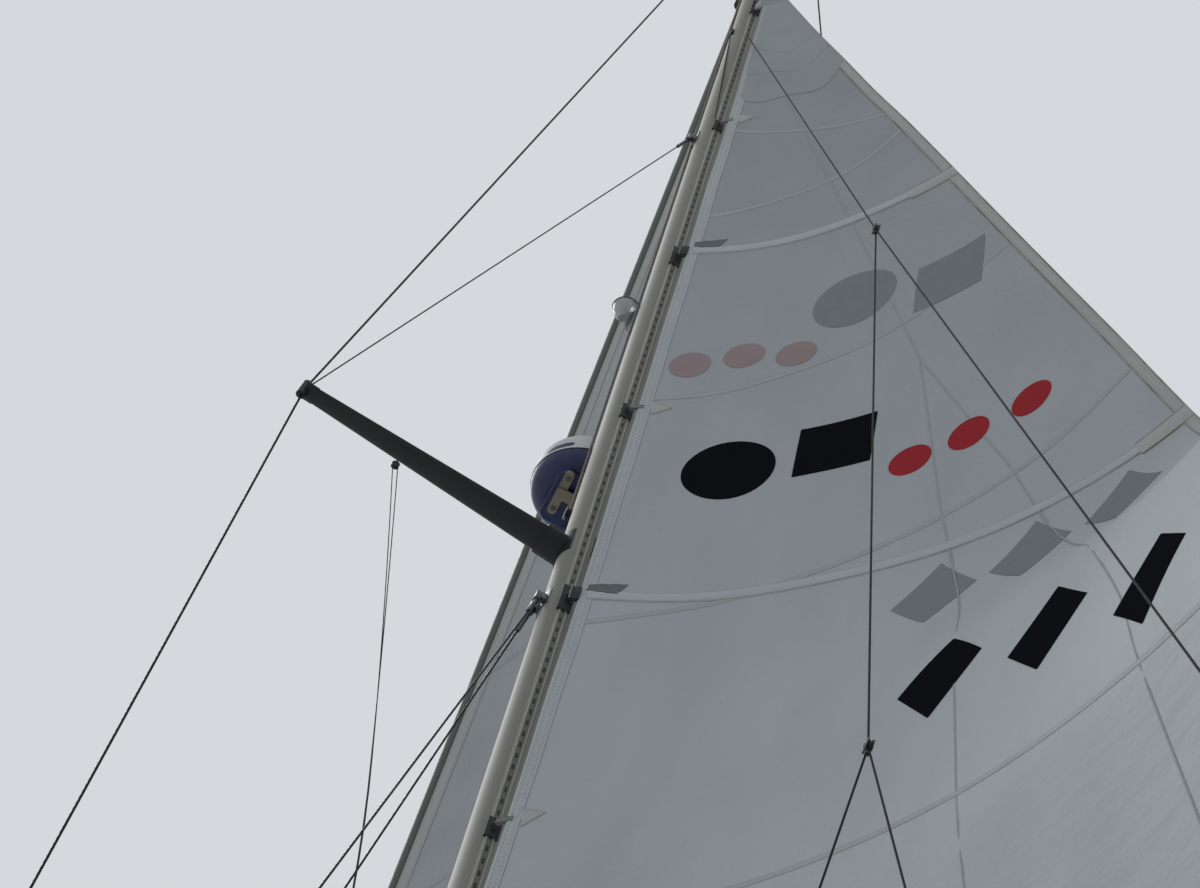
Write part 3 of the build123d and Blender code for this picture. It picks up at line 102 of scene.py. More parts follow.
# Headsail sections: share of the luff, share of the leech, camber as a share of the chord
JIB_ROWS = ((0.0, 0.0, 0.070), (0.30, 0.28, 0.105), (0.64, 0.62, 0.090), (1.0, 1.0, 0.010))
# Plain shapes where a racing sail carries its marks: face, shape, and metres from the luff with luff height
MARKS = [(side, shape, centre) for side, shape, centres in (
    (PORT, "disc", [(0.401, 7.870)]),
    (PORT, "square", [(0.761, 7.921)]),
    (STARBOARD, "disc", [(0.742, 8.784)]),
    (STARBOARD, "square", [(1.120, 8.691)]),
    (PORT, "red", [(1.042, 7.715), (1.248, 7.741), (1.479, 7.761)]),
    (STARBOARD, "red", [(0.167, 8.526), (0.359, 8.557), (0.553, 8.520)]),
    (PORT, "diamond", [(1.396, 6.026), (1.793, 5.850), (2.234, 5.509)]),
    (STARBOARD, "diamond", [(1.203, 6.868), (1.520, 6.890), (1.850, 6.878)])) for centre in centres]


def linear(code):
    """Linear colour of an sRGB hex value."""
    parts = [int(code[k:k + 2], 16) / 255 for k in (0, 2, 4)]
    return tuple(c / 12.92 if c <= 0.04045 else ((c + 0.055) / 1.055) ** 2.4 for c in parts)


def colour_prop(name, description, code):
    return bpy.props.FloatVectorProperty(
        name=name, description=description, subtype="COLOR", size=3, min=0, max=1, default=linear(code))


def length_prop(name, description, metres):
    return bpy.props.FloatProperty(
        name=name, description=description, subtype="DISTANCE", unit="LENGTH", min=0, default=metres)


class RigColours(bpy.types.PropertyGroup):
    # the sailcloth is off-white polyester, painted greyer and bluer as the shade on the face turned from the
    # light
    cloth: colour_prop("Sailcloth", "Woven polyester of both sails", "ADB4B8")
    tape: colour_prop("Sail tape", "Heavier cloth on the edges", "ABAFAE")
    thread: colour_prop("Thread", "Zigzag stitching", "B3AB8B")
    stain: colour_prop("Stain", "Brown lines on weathered tapes and pockets", "5F5B45")
    patch: colour_prop("Batten patch", "Wear patches where the battens end", "5A6266")
    mark: colour_prop("Dark mark", "Dark shapes on the mainsail", "18191D")
    accent: colour_prop("Red mark", "Small red shapes on the mainsail", "A0363B")
    ghost: colour_prop("Ghost mark", "Dark mark seen through the cloth", "858C91")
    ghost_red: colour_prop("Red ghost mark", "Red mark seen through the cloth", "9A8B8C")
    mast: colour_prop("Mast alloy", "Anodised mast and boom", "9A9A92")
    casting: colour_prop("Cast alloy", "Masthead, gooseneck and brackets", "8E9092")
    black: colour_prop("Black alloy", "Spreaders and vang tube", "222324")
    foil: colour_prop("Luff foil", "Grey anodised foil of the headsail", "575B57")
    stained: colour_prop("Stained alloy", "Radome bracket", "7F7867")
    fleck: colour_prop("Flecked rope", "Rope beside the mast", "6B6660")
    # the stainless colour is painted darker than bare stainless, as shade
    steel: colour_prop("Stainless", "Weathered fittings", "626567")
    # the wire's colour is painted near black, as shade
    wire: colour_prop("Wire", "Strand of the stays", "28292B")
    plastic: colour_prop("Black plastic", "Cars, drum and sheaves", "1B1C1E")
    white: colour_prop("White shell", "Radome top and lamp", "C6C9CA")
    navy: colour_prop("Navy shell", "Lower half of the radome", "10204A")
    rope: colour_prop("Rope", "Lazy jacks and thin halyards", "1D1E1E")
    halyard: colour_prop("Halyard", "Thicker running lines", "D2CFC4")
    floor: colour_prop("Floor", "Studio floor", "D8D9DA")
    backdrop: colour_prop("Backdrop", "What shows behind the rig", "D5D8DC")


class RigSizes(bpy.types.PropertyGroup):
    cloth_thick: length_prop("Cloth thickness", "Both sails, with their coating", 0.0016)
    seam_width: length_prop("Seam width", "Overlap where two panels are sewn", 0.024)
    pocket_width: length_prop("Pocket width", "Width of a batten pocket", 0.052)
    stitch_pitch: length_prop("Stitch pitch", "One zigzag, drawn coarse enough to show", 0.012)
    jack_radius: length_prop("Lazy jack radius", "Radius of the lazy jack lines", 0.003)
    flag_radius: length_prop("Flag halyard radius", "Radius of the flag halyards", 0.0016)
    halyard_radius: length_prop("Halyard radius", "Main halyard and rope beside the mast", 0.005)
    screw_pitch: length_prop("Screw pitch", "Distance between the screws of the luff track", 0.05)


def colours():
    return bpy.context.scene.yacht_rig_colours


def sizes():
    return bpy.context.scene.yacht_rig_sizes


# ---- Materials ----


def node(tree, kind, inputs=(), out=0, to=None, **settings):
    """Adds a shader node and returns one of its outputs.

    inputs maps a socket to a value, or to the socket that feeds it. The output feeds to, if there is one."""
    made = tree.nodes.new(f"ShaderNode{kind}")
    for key, value in settings.items():
        setattr(made, key, value)
    for key, value in dict(inputs).items():
        if isinstance(value, bpy.types.NodeSocket):
            tree.links.new(value, made.inputs[key])
        else:
            made.inputs[key].default_value = value
    if to:
        tree.links.new(made.outputs[out], to)
    return made.outputs[out]


def shade(colour, factor=1.0):
    """The colour made darker or lighter, and opaque."""
    return (*(min(1.0, c * factor) for c in colour[:3]), 1)


def new_material(name, **shader):
    """Material with a Principled shader, its node tree, and the shader's sockets."""
    material = bpy.data.materials.new(name)
    material.use_nodes = True
    skin = material.node_tree.nodes["Principled BSDF"].inputs
    for key, value in shader.items():
        skin[key.replace("_", " ").title().replace("Ior", "IOR")].default_value = value
    return material, material.node_tree, skin


def mottled(tree, skin, base, spread, scale, stretch=(1, 1, 1)):
    """Gives the surface a colour that wanders a little round base; returns the noise."""
    place = node(tree, "Mapping", {"Vector": node(tree, "TexCoord", out="Object"), "Scale": stretch})
    noise = node(tree, "TexNoise", {"Vector": place, "Scale": scale, "Detail": 4})
    node(tree, "Mix", {"Factor": noise, "A": shade(base, 1 - spread), "B": shade(base, 1 + spread)},
         "Result", skin["Base Color"], data_type="RGBA")
    return noise


def weathered(tree, skin, noise, low, high, depth):
    """Roughness from low to high and a relief of the given depth, both from one noise."""
    node(tree, "MapRange", {"Value": noise, "To Min": low, "To Max": high}, 0, skin["Roughness"])
    node(tree, "Bump", {"Height": noise, "Distance": depth}, 0, skin["Normal"])


MATERIALS = {}
# Squeezes the noise to fine marks up Z
DRAWN = (60, 60, 1.2)


def make_materials():
    """Every finish of the rig, by name."""
    c = colours()
    MATERIALS.update(
        # anodised aluminium extrusion: satin, with faint marks along the length it was drawn
        mast=alloy("anodised_aluminium_extrusion", c.mast, 0.3, 0.46, 0.6, 2.2, stretch=DRAWN),
        mast_wall=mast_wall_material(),
        boom=alloy("anodised_aluminium_boom", c.mast, 0.3, 0.46, 0.6, 2.0, stretch=(1.5, 1.5, 50)),
        # grey anodised foil: duller than the mast, drawn marks along the stay
        foil=alloy("grey_anodised_foil", c.foil, 0.3, 0.42, 0.58, 3, stretch=(30, 30, 1.2)),
        track=track_material(),
        # sand-cast aluminium, anodised: a fine pebbled skin, duller than the extrusion
        casting=alloy("cast_aluminium", c.casting, 0.7, 0.48, 0.66, 260, 0.09, 0.0004),
        # black hard-anodised aluminium: dark, slightly worn, with a soft highlight
        black=alloy("black_hard_anodised_aluminium", c.black, 0.35, 0.38, 0.58, 28, 0.22),
        # stainless steel long outdoors: dull, with a haze, its colour painted darker than bare stainless as
        # shade
        steel=alloy("weathered_stainless_steel", c.steel, 0.9, 0.30, 0.48, 70, 0.08),
        # glass-filled nylon: matt black with a fine moulded grain
        plastic=alloy("glass_filled_nylon", c.plastic, 0.0, 0.52, 0.72, 420, 0.18, 0.0003),
        # gelcoat on fibreglass, chalked by the sun, with very slight print-through of the mat
        white=alloy("white_gelcoat", c.white, 0.0, 0.5, 0.65, 55, 0.03),
        # the navy half keeps more of its gloss
        navy=alloy("navy_gelcoat", c.navy, 0.0, 0.38, 0.52, 55, 0.10),
        # EPDM rubber: matt, near black, dusty
        rubber=alloy("epdm_rubber", shade(c.plastic, 1.4), 0.0, 0.7, 0.9, 160, 0.2),
        # chromed bronze: mirror bright, with hairline wear round the drum
        chrome=alloy("chromed_bronze", shade(c.steel, 2.2), 1.0, 0.08, 0.2, 4, 0.04, stretch=(40, 1, 40)),
        # countersunk heads, painted near black as the shade of their recesses
        screw=alloy("stainless_screw_heads", c.plastic, 0.2, 0.4, 0.6, 300, 0.3),
        wire=wire_material(),
        rope=rope_material("braided_polyester_dark", c.rope),
        fleck=rope_material("braided_polyester_flecked", c.fleck, 130.0, 2.0),
        halyard=rope_material("braided_polyester_pale", c.halyard),
        cloth=cloth_material("woven_polyester_sailcloth", c.cloth),
        # the headsail is painted greyer than the mainsail, as shade
        jib_cloth=cloth_material("woven_polyester_headsail", shade(c.cloth, 0.88)),
        # stitch rows are metres in from the edge, and wider than the real 1 mm thread so that they show
        # the seam's doubled cloth is painted darker, as the shade it makes against the light behind the sail
        panel_seam=band_material("sailcloth_seam_two_stitch_rows", shade(c.cloth, 0.88), 0.006),
        tape=band_material("edge_tape_stitched", c.tape, 0.014, 0.3, 0.8, True),
        luff_tape=band_material("luff_tape_wide_zigzag", shade(c.cloth, 1.04), 0.013, 0.6, 0.5, luff=True),
        pocket=band_material("batten_pocket_edge_stitched", shade(c.cloth, 1.05), 0.005, 0.3, 0.6, True),
        pocket_end=band_material("batten_pocket_end_stained", shade(c.tape, 1.03), 0.012, 0.35, 0.9, True),
        ply=band_material("corner_ply_edge_stitched", shade(c.cloth, 0.92), 0.007, 0.3, 0.35),
        # the head plies are painted darker than the other corners, as shade
        head_ply=band_material("head_ply_edge_stitched", shade(c.cloth, 0.74), 0.007, 0.3, 0.35),
        strap=band_material("grey_polyester_webbing", shade(c.tape, 0.42), 0.004, 0.2, 0.5),
        patch=band_material("grey_wear_cloth", c.patch, 0.004, 0.15, 0.85),
        # bare alloy bracket, dulled and stained warm by salt
        stained=alloy("salt_stained_aluminium", c.stained, 0.2, 0.55, 0.75, 35, 0.3),
        webbing=webbing_material(),
        mark=film_material("black_adhesive_film", c.mark, 0.55),
        accent=film_material("red_adhesive_film", c.accent, 0.55),
        # a mark on the far face only greys the cloth
        ghost=film_material("film_seen_through_cloth", c.ghost, 0.75),
        ghost_red=film_material("red_film_seen_through_cloth", c.ghost_red, 0.75),
        # the line behind the cloth only darkens it a little
        shade=film_material("line_seen_through_cloth", shade(c.cloth, 0.84), 0.62),
        lens=lens_material())


def alloy(name, base, metallic, low, high, scale, spread=0.06, depth=0.0002, stretch=(1, 1, 1)):
    """Metal or moulded shell, its roughness from low to high, with drawn or cast marks."""
    material, tree, skin = new_material(name, metallic=metallic)
    weathered(tree, skin, mottled(tree, skin, base, spread, scale, stretch), low, high, depth)
    return material


def mast_wall_material():
    """Drawn aluminium whose aft face, behind the cars, is painted darker as shade."""
    base = shade(colours().mast, 1.16)
    material = alloy("anodised_aluminium_mast_wall", base, 0.15, 0.58, 0.72, 2.2, stretch=DRAWN)
    tree = material.node_tree
    colour = tree.nodes["Principled BSDF"].inputs["Base Color"]
    fore = node(tree, "SeparateXYZ", {0: node(tree, "TexCoord", out="Object")}, "X")
    # painted shade, deepening from 20 mm to 70 mm behind the middle of the section
    aft = node(tree, "MapRange", {"Value": fore, "From Min": -0.020, "From Max": -0.070,
                                  "To Min": 0.0, "To Max": 0.5})
    node(tree, "Mix", {"Factor": aft, "A": colour.links[0].from_socket, "B": shade(base, 0.2)},
         "Result", colour, data_type="RGBA")
    return material


def track_material():
    """Mast track, painted darker than the mast as shade, with a painted highlight along the outer edges of its
    head and painted shade in its screw recesses.
    """
    material, tree, skin = new_material("worn_aluminium_track", metallic=0.3)
    # the whole track is painted darker than the mast, as shade
    base = shade(colours().mast, 0.6)
    place = node(tree, "TexCoord", out="Object")
    across, up = (node(tree, "SeparateXYZ", {0: place}, axis) for axis in "YZ")
    across = node(tree, "Math", {0: across}, operation="ABSOLUTE")
    # painted highlight on the outer 3 mm of the head, which is 26 mm wide, where the cars run
    edge_highlight = node(tree, "MapRange", {"Value": across, "From Min": 0.0094, "From Max": 0.0102})
    # recesses are 24 mm long and 8 mm wide, one each screw pitch, and painted near black as their shade
    up = node(tree, "Math", {0: up, 1: TRACK_FOOT_Z}, operation="SUBTRACT")
    up = node(tree, "Math", {0: up, 1: 2 / sizes().screw_pitch}, operation="MULTIPLY")
    up = node(tree, "Math", {0: up, 1: 1.0}, operation="PINGPONG")
    near = node(tree, "MapRange", {"Value": up, "From Min": 0.50, "From Max": 0.58})
    narrow = node(tree, "MapRange", {"Value": across, "From Min": 0.0044, "From Max": 0.0036})
    recess_shade = node(tree, "Math", {0: near, 1: narrow}, operation="MULTIPLY")
    metal = node(tree, "Mix", {"Factor": edge_highlight, "A": shade(base, 0.6), "B": shade(base, 1.9)},
                 "Result", data_type="RGBA")
    node(tree, "Mix", {"Factor": recess_shade, "A": metal, "B": shade(base, 0.08)},
         "Result", skin["Base Color"], data_type="RGBA")
    grit = node(tree, "TexNoise", {"Vector": place, "Scale": 60.0, "Detail": 4})
    weathered(tree, skin, grit, 0.4, 0.6, 0.0002)
    return material


def wire_material():
    """1x19 stainless strand long outdoors: the lay of the wires shows as slanting ridges, and its colour is
    painted near black as shade.
    """
    material, tree, skin = new_material("stainless_strand_1x19", metallic=0.9)
    noise = mottled(tree, skin, colours().wire, 0.12, 90)
    node(tree, "MapRange", {"Value": noise, "To Min": 0.3, "To Max": 0.5}, 0, skin["Roughness"])
    # one ridge about every 5 mm along the stay, coarser than the 1.6 mm wires so that it shows
    ridges = node(tree, "TexWave", {"Vector": node(tree, "TexCoord", out="Object"), "Scale": 28.0}, "Fac",
                  bands_direction="DIAGONAL")
    node(tree, "Bump", {"Height": ridges, "Distance": 0.0006}, 0, skin["Normal"])
    return material


def rope_material(name, base, scale=420.0, fleck=1.15):
    """Braided polyester cover: small crossing picks that catch the light."""
    material, tree, skin = new_material(name, roughness=0.82)
    place = node(tree, "TexCoord", out="Object")
    picks = node(tree, "TexVoronoi", {"Vector": place, "Scale": scale}, "Distance")
    node(tree, "Mix", {"Factor": picks, "A": shade(base, fleck), "B": shade(base, 0.6)},
         "Result", skin["Base Color"], data_type="RGBA")
    node(tree, "Bump", {"Height": picks, "Distance": 0.0008}, 0, skin["Normal"])
    return material


def cloth_material(name, base):
    """Tightly woven, resin-finished polyester: slightly sheened, creased and weathered."""
    material, tree, skin = new_material(name, roughness=0.58, sheen_weight=0.05, sheen_roughness=0.5,
                                        specular_ior_level=0.25)
    place = node(tree, "TexCoord", out="UV")
    # warp and weft are 0.4 mm apart, drawn 4 mm apart so that a close view shows a weave
    warp, weft = (node(tree, "TexWave", {"Vector": place, "Scale": 40.0, "Distortion": 0.4}, "Fac",
                       bands_direction=axis) for axis in "XY")
    weave = node(tree, "Math", {0: warp, 1: weft}, operation="MULTIPLY")
    # soft weather streaks run down the cloth, a few hundred millimetres long
    stain = node(tree, "Mapping", {"Vector": place, "Scale": (2.2, 0.7, 1)})
    stain = node(tree, "TexNoise", {"Vector": stain, "Scale": 1.6, "Detail": 5})
    stain = node(tree, "MapRange", {"Value": stain, "From Min": 0.3, "From Max": 0.7})
    mixed = node(tree, "Mix", {"Factor": stain, "A": shade(base, 0.93), "B": shade(base, 1.03)},
                 "Result", data_type="RGBA")
    # the cloth is pulled hardest near its two long edges, so it creases most there
    edge = node(tree, "SeparateXYZ", {0: node(tree, "UVMap", uv_map="Share")}, "X")
    edge = node(tree, "Math", {0: edge, 1: 0.45}, operation="SUBTRACT")
    edge = node(tree, "Math", {0: edge}, operation="ABSOLUTE")
    pull = node(tree, "MapRange", {"Value": edge, "From Min": 0.1, "From Max": 0.55,
                                   "To Min": 0.6, "To Max": 1.6})
    crease = node(tree, "Mapping", {"Vector": place, "Scale": (1.0, 2.4, 1), "Rotation": (0, 0, 0.4)})
    crease = node(tree, "TexNoise", {"Vector": crease, "Scale": 3.5, "Detail": 6, "Roughness": 0.55})
    crease = node(tree, "Math", {0: crease, 1: pull}, operation="MULTIPLY")
    # painted shade: the cloth is painted greyer towards the head
    high = node(tree, "SeparateXYZ", {0: node(tree, "UVMap", uv_map="UVMap")}, "Y")
    grey = node(tree, "MapRange", {"Value": high, "From Min": 6.6, "From Max": 10.2,
                                   "To Min": 0.0, "To Max": 0.42})
    mixed = node(tree, "Mix", {"Factor": grey, "A": mixed, "B": shade(base, 0.35)},
                 "Result", data_type="RGBA")
    # sparse specks of dirt and mildew, 3 to 6 mm across
    speck = node(tree, "TexVoronoi", {"Vector": place, "Scale": 7.0}, "Distance")
    speck = node(tree, "MapRange", {"Value": speck, "From Min": 0.018, "From Max": 0.03,
                                    "To Min": 0.45, "To Max": 0.0})
    node(tree, "Mix", {"Factor": speck, "A": mixed, "B": shade(base, 0.3)},
         "Result", skin["Base Color"], data_type="RGBA")
    fine = node(tree, "Math", {0: weave, 1: 0.04}, operation="MULTIPLY")
    height = node(tree, "Math", {0: crease, 1: fine}, operation="ADD")
    node(tree, "Bump", {"Height": height, "Distance": 0.012, "Strength": 0.55}, 0, skin["Normal"])
    return material


def band_material(name, base, row, thread_share=0.35, edge_shade_and_stain_share=0.3, stained=False, luff=False):
    """Doubled cloth with zigzag thread, on a UV map of metres along and metres in from the nearest edge.

    A stained band has a wide brown stain along its edges, strongest towards the leech, and any other band a
    narrow painted shadow along its edges. The luff has a wide zigzag in dark thread."""
    material, tree, skin = new_material(name, roughness=0.62)
    place = node(tree, "TexCoord", out="UV")
    along, inset = (node(tree, "SeparateXYZ", {0: place}, axis) for axis in "XY")
    pitch, swing = (0.75 * sizes().stitch_pitch, 0.006) if luff else (sizes().stitch_pitch, 0.0014)
    zigzag = node(tree, "Math", {0: along, 1: 1 / pitch}, operation="MULTIPLY")
    zigzag = node(tree, "Math", {0: zigzag, 1: 1.0}, operation="PINGPONG")
    zigzag = node(tree, "MapRange", {"Value": zigzag, "To Min": -swing, "To Max": swing})
    gap = node(tree, "Math", {0: inset, 1: row}, operation="SUBTRACT")
    gap = node(tree, "Math", {0: gap, 1: zigzag}, operation="SUBTRACT")
    gap = node(tree, "Math", {0: gap}, operation="ABSOLUTE")
    thread = node(tree, "MapRange", {"Value": gap, "From Min": 0.0006, "From Max": 0.0014,
                                     "To Min": 1.0, "To Max": 0.0})
    sewn = node(tree, "Math", {0: thread, 1: thread_share}, operation="MULTIPLY")
    noise = node(tree, "TexNoise", {"Vector": node(tree, "TexCoord", out="Object"), "Scale": 9.0, "Detail": 5})
    worn = node(tree, "Mix", {"Factor": noise, "A": shade(base, 0.88), "B": shade(base, 1.04)},
                "Result", data_type="RGBA")
    # a painted shadow 3 mm wide lies along the raised edge of the band; on a stained band a brown stain 9 mm
    # wide takes its place
    reach = 0.009 if stained else 0.003
    edge_shade_and_stain = node(tree, "MapRange", {"Value": inset, "From Min": reach * 0.5, "From Max": reach,
                                   "To Min": edge_shade_and_stain_share, "To Max": 0.0})
    if stained:
        share = node(tree, "SeparateXYZ", {0: node(tree, "UVMap", uv_map="Share")}, "X")
        old = node(tree, "MapRange", {"Value": share, "From Min": 0.3, "From Max": 0.95,
                                      "To Min": 0.4, "To Max": 1.0})
        patchy = node(tree, "MapRange", {"Value": noise, "From Min": 0.35, "From Max": 0.62,
                                         "To Min": 0.45, "To Max": 1.0})
        edge_shade_and_stain = node(tree, "Math", {0: edge_shade_and_stain, 1: old}, operation="MULTIPLY")
        edge_shade_and_stain = node(tree, "Math", {0: edge_shade_and_stain, 1: patchy}, operation="MULTIPLY")
    # the stain's colour on a stained band, else the painted shadow's colour
    edge_shade_and_stain_colour = shade(colours().stain) if stained else shade(base, 0.35)
    edged = node(tree, "Mix", {"Factor": edge_shade_and_stain, "A": worn, "B": edge_shade_and_stain_colour}, "Result", data_type="RGBA")
    node(tree, "Mix", {"Factor": sewn, "A": edged, "B": shade(colours().thread, 0.3 if luff else 1.0)},
         "Result", skin["Base Color"], data_type="RGBA")
    height = node(tree, "Math", {0: thread, 1: noise}, operation="ADD")
    node(tree, "Bump", {"Height": height, "Distance": 0.0015, "Strength": 0.6}, 0, skin["Normal"])
    return material


def webbing_material():
    """Woven polyester webbing: a rib every 2 mm across its length."""
    material, tree, skin = new_material("black_polyester_webbing", roughness=0.85)
    noise = mottled(tree, skin, shade(colours().plastic, 1.6), 0.25, 40)
    place = node(tree, "TexCoord", out="Object")
    ribs = node(tree, "TexWave", {"Vector": place, "Scale": 80.0}, "Fac", bands_direction="Z")
    height = node(tree, "Math", {0: ribs, 1: noise}, operation="ADD")
    node(tree, "Bump", {"Height": height, "Distance": 0.0006}, 0, skin["Normal"])
    return material


def film_material(name, base, roughness):
    """Adhesive film: even colour that lets the weave show a little."""
    # old film on cloth has no shine left, so it stays dark at a low angle
    material, tree, skin = new_material(name, specular_ior_level=0.0)
    weathered(tree, skin, mottled(tree, skin, base, 0.07, 22), roughness - 0.08, roughness + 0.08, 0.0006)
    return material


def lens_material():
    """Clear polycarbonate lens, vertically fluted."""
    material, tree, skin = new_material("clear_polycarbonate", roughness=0.12, transmission_weight=0.35,
                                        base_color=shade(colours().white, 0.9))
    place = node(tree, "TexCoord", out="Object")
    flutes = node(tree, "TexWave", {"Vector": place, "Scale": 60.0}, "Fac", bands_direction="Z")
    node(tree, "Bump", {"Height": flutes, "Distance": 0.0008}, 0, skin["Normal"])
    return material


# ---- Pieces ----


def set_uvs(mesh, name, values):
    """UV layer from one value for each vertex."""
    layer = mesh.uv_layers.get(name) or mesh.uv_layers.new(name=name)
    index = np.zeros(len(mesh.loops), int)
    mesh.loops.foreach_get("vertex_index", index)
    layer.data.foreach_set("uv", np.asarray(values, np.float32)[index].ravel())


def activate(piece):
    bpy.ops.object.select_all(action="DESELECT")
    piece.select_set(True)
    bpy.context.view_layer.objects.active = piece


def named(piece, name):
    piece.name = piece.data.name = name
    return piece


def primitive(kind, name, **options):
    """One of Blender's mesh primitives, alone and selected."""
    bpy.ops.object.select_all(action="DESELECT")
    getattr(bpy.ops.mesh, f"primitive_{kind}_add")(**options)
    bpy.ops.object.transform_apply(location=True, rotation=True, scale=True)
    return named(bpy.context.object, name)


def torus(name, radius, thick, segments, sides, location=(0, 0, 0)):
    return primitive("torus", name, major_radius=radius, minor_radius=thick, major_segments=segments,
                     minor_segments=sides, location=location)


def edit_whole(piece, *operations):
    """Runs operations on all of the piece in edit mode."""
    activate(piece)
    bpy.ops.object.mode_set(mode="EDIT")
    bpy.ops.mesh.select_mode(type="FACE")
    bpy.ops.mesh.select_all(action="SELECT")
    for operate in operations:
        operate()
    bpy.ops.object.mode_set(mode="OBJECT")
    return piece


def face_out():
    bpy.ops.mesh.select_all(action="SELECT")
    bpy.ops.mesh.normals_make_consistent(inside=False)


def edit_faces(piece, chosen, operate):
    """Selects faces by place, then runs operate in edit mode."""
    activate(piece)
    bpy.ops.object.mode_set(mode="EDIT")
    bpy.ops.mesh.select_mode(type="FACE")
    mesh = bmesh.from_edit_mesh(piece.data)
    for face in mesh.faces:
        face.select_set(bool(chosen(face)))
    bmesh.update_edit_mesh(piece.data)
    operate()
    bpy.ops.object.mode_set(mode="OBJECT")


def bevelled(piece, width):
    activate(piece)
    modifier = piece.modifiers.new("Bevel", "BEVEL")
    modifier.width, modifier.segments = width, 2
    modifier.limit_method, modifier.angle_limit = "ANGLE", math.radians(35)
    bpy.ops.object.modifier_apply(modifier=modifier.name)
    return piece


def shift(x, y, z):
    return Matrix.Translation((x, y, z))


def spin(angle, axis):
    return Matrix.Rotation(angle, 4, axis)


def aim(origin, direction, across=(0, 0, 1)):
    """Matrix that puts local Z along a direction, and local X across it."""
    z = Vector(direction).normalized()
    x = Vector(across)
    x = x - z * x.dot(z)
    if x.length < 1e-4:
        x = Vector((1, 0, 0)) - z * z.x
    x.normalize()
    return Matrix.Translation(Vector(origin)) @ Matrix((x, z.cross(x), z)).transposed().to_4x4()


def placed(piece, place):
    piece.data.transform(place)
    piece.data.update()
    return piece


def repeated(piece, places):
    """The piece's mesh at each of the places, in one mesh."""
    source = piece.data
    whole = bmesh.new()
    for place in places:
        part = source.copy()
        part.transform(place)
        whole.from_mesh(part)
        bpy.data.meshes.remove(part)
    whole.to_mesh(source)
    whole.free()
    return piece


def joined(name, pieces):
    """Several pieces as one."""
    activate(pieces[0])
    for piece in pieces[1:]:
        piece.select_set(True)
    bpy.ops.object.join()
    return named(bpy.context.object, name)


def turned(name, rings, sides=24):
    """Round piece up Z: a disc extruded to each height and scaled to each radius."""
    piece = primitive("circle", name, vertices=sides, radius=rings[0][0], fill_type="NGON",
                      location=(0, 0, rings[0][1]))

    def extrude():
        for (last, low), (radius, height) in zip(rings, rings[1:]):
            bpy.ops.mesh.extrude_region_move(TRANSFORM_OT_translate={"value": (0, 0, height - low)})
            bpy.ops.transform.resize(value=(radius / last, radius / last, 1), center_override=(0, 0, height))

    return edit_whole(piece, extrude, face_out)


def block(name, size, width):
    """Box with rounded edges."""
    return bevelled(placed(primitive("cube", name, size=1), Matrix.Diagonal((*size, 1))), width)


def hex_nut(name, radius, height):
    """Hexagonal nut or bolt head with its corners turned down, standing on Z = 0."""
    return bevelled(turned(name, ((radius * 0.96, 0), (radius, height * 0.12), (radius, height * 0.85),
                                  (radius * 0.9, height)), 6), height * 0.06)


def pulley(name, radius):
    """Block: a grooved sheave between two rounded cheeks with an axle, its pin along Z."""
    sheave = turned(f"{name}_sheave", ((radius * 0.9, -0.005), (radius * 0.72, -0.001), (radius * 0.72, 0.001),
                                       (radius * 0.9, 0.005)), 20)
    cheek = turned(f"{name}_cheek", ((radius * 0.96, 0), (radius, 0.001), (radius * 0.9, 0.003),
                                     (radius * 0.3, 0.0042), (radius * 0.26, 0.0055)), 20)
    both = repeated(cheek, (shift(0, 0, 0.0056), shift(0, 0, -0.0056) @ spin(math.pi, "X")))
    size = (radius * 0.5, radius * 0.8, 0.010)
    strap = placed(block(f"{name}_strap", size, min(size) * 0.2), shift(0, radius * 1.15, 0))
    return joined(name, [both, sheave, strap])


def line(name, points, radius, smooth=False):
    """Round line through points, or near them if smooth, as a closed mesh tube."""
    curve = bpy.data.curves.new(name, "CURVE")
    curve.dimensions = "3D"
    spline = curve.splines.new("NURBS" if smooth else "POLY")
    spline.points.add(len(points) - 1)
    for place, point in zip(points, spline.points):
        point.co = (*place, 1)
    if smooth:
        spline.use_endpoint_u = True
        spline.order_u = 3
        spline.resolution_u = 8
    curve.bevel_depth = radius
    curve.bevel_resolution = 2
    curve.use_fill_caps = True
    piece = bpy.data.objects.new(name, curve)
    bpy.context.scene.collection.objects.link(piece)
    activate(piece)
    bpy.ops.object.convert(target="MESH")
    # the end caps come loose from the tube, so they are merged to it
    return edit_whole(bpy.context.object, lambda: bpy.ops.mesh.remove_doubles(threshold=1e-5), face_out)


# Slot and smoothing angle of each finish
KINDS = {
    ("sailcloth", 80): "cloth jib_cloth panel_seam tape luff_tape pocket pocket_end ply head_ply strap patch "
                       "mark accent ghost ghost_red shade",
    ("sailcloth", 60): "rope fleck halyard webbing",
    ("stainless", 40): "steel screw",
    ("black_plastic", 40): "plastic rubber",
    ("cast_alloy", 40): "casting",
    ("winch_metal", 40): "chrome",
    ("navy_shell", 40): "navy",
}
KIND_OF = {finish: kind for kind, finishes in KINDS.items() for finish in finishes.split()}


def finished(piece, finish, body, kind=None):
    """Gives a piece its finish, its smooth shading and the body that it rides on."""
    slot, angle = kind or KIND_OF[finish]
    piece.data.materials.clear()
    piece.data.materials.append(MATERIALS[finish])
    activate(piece)
    bpy.ops.object.shade_smooth_by_angle(angle=math.radians(angle))
    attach(piece, body)
    return piece


def rope(name, points, radius, finish, body, smooth=False):
    return finished(line(name, points, radius, smooth), finish, body, ("sailcloth", 60))


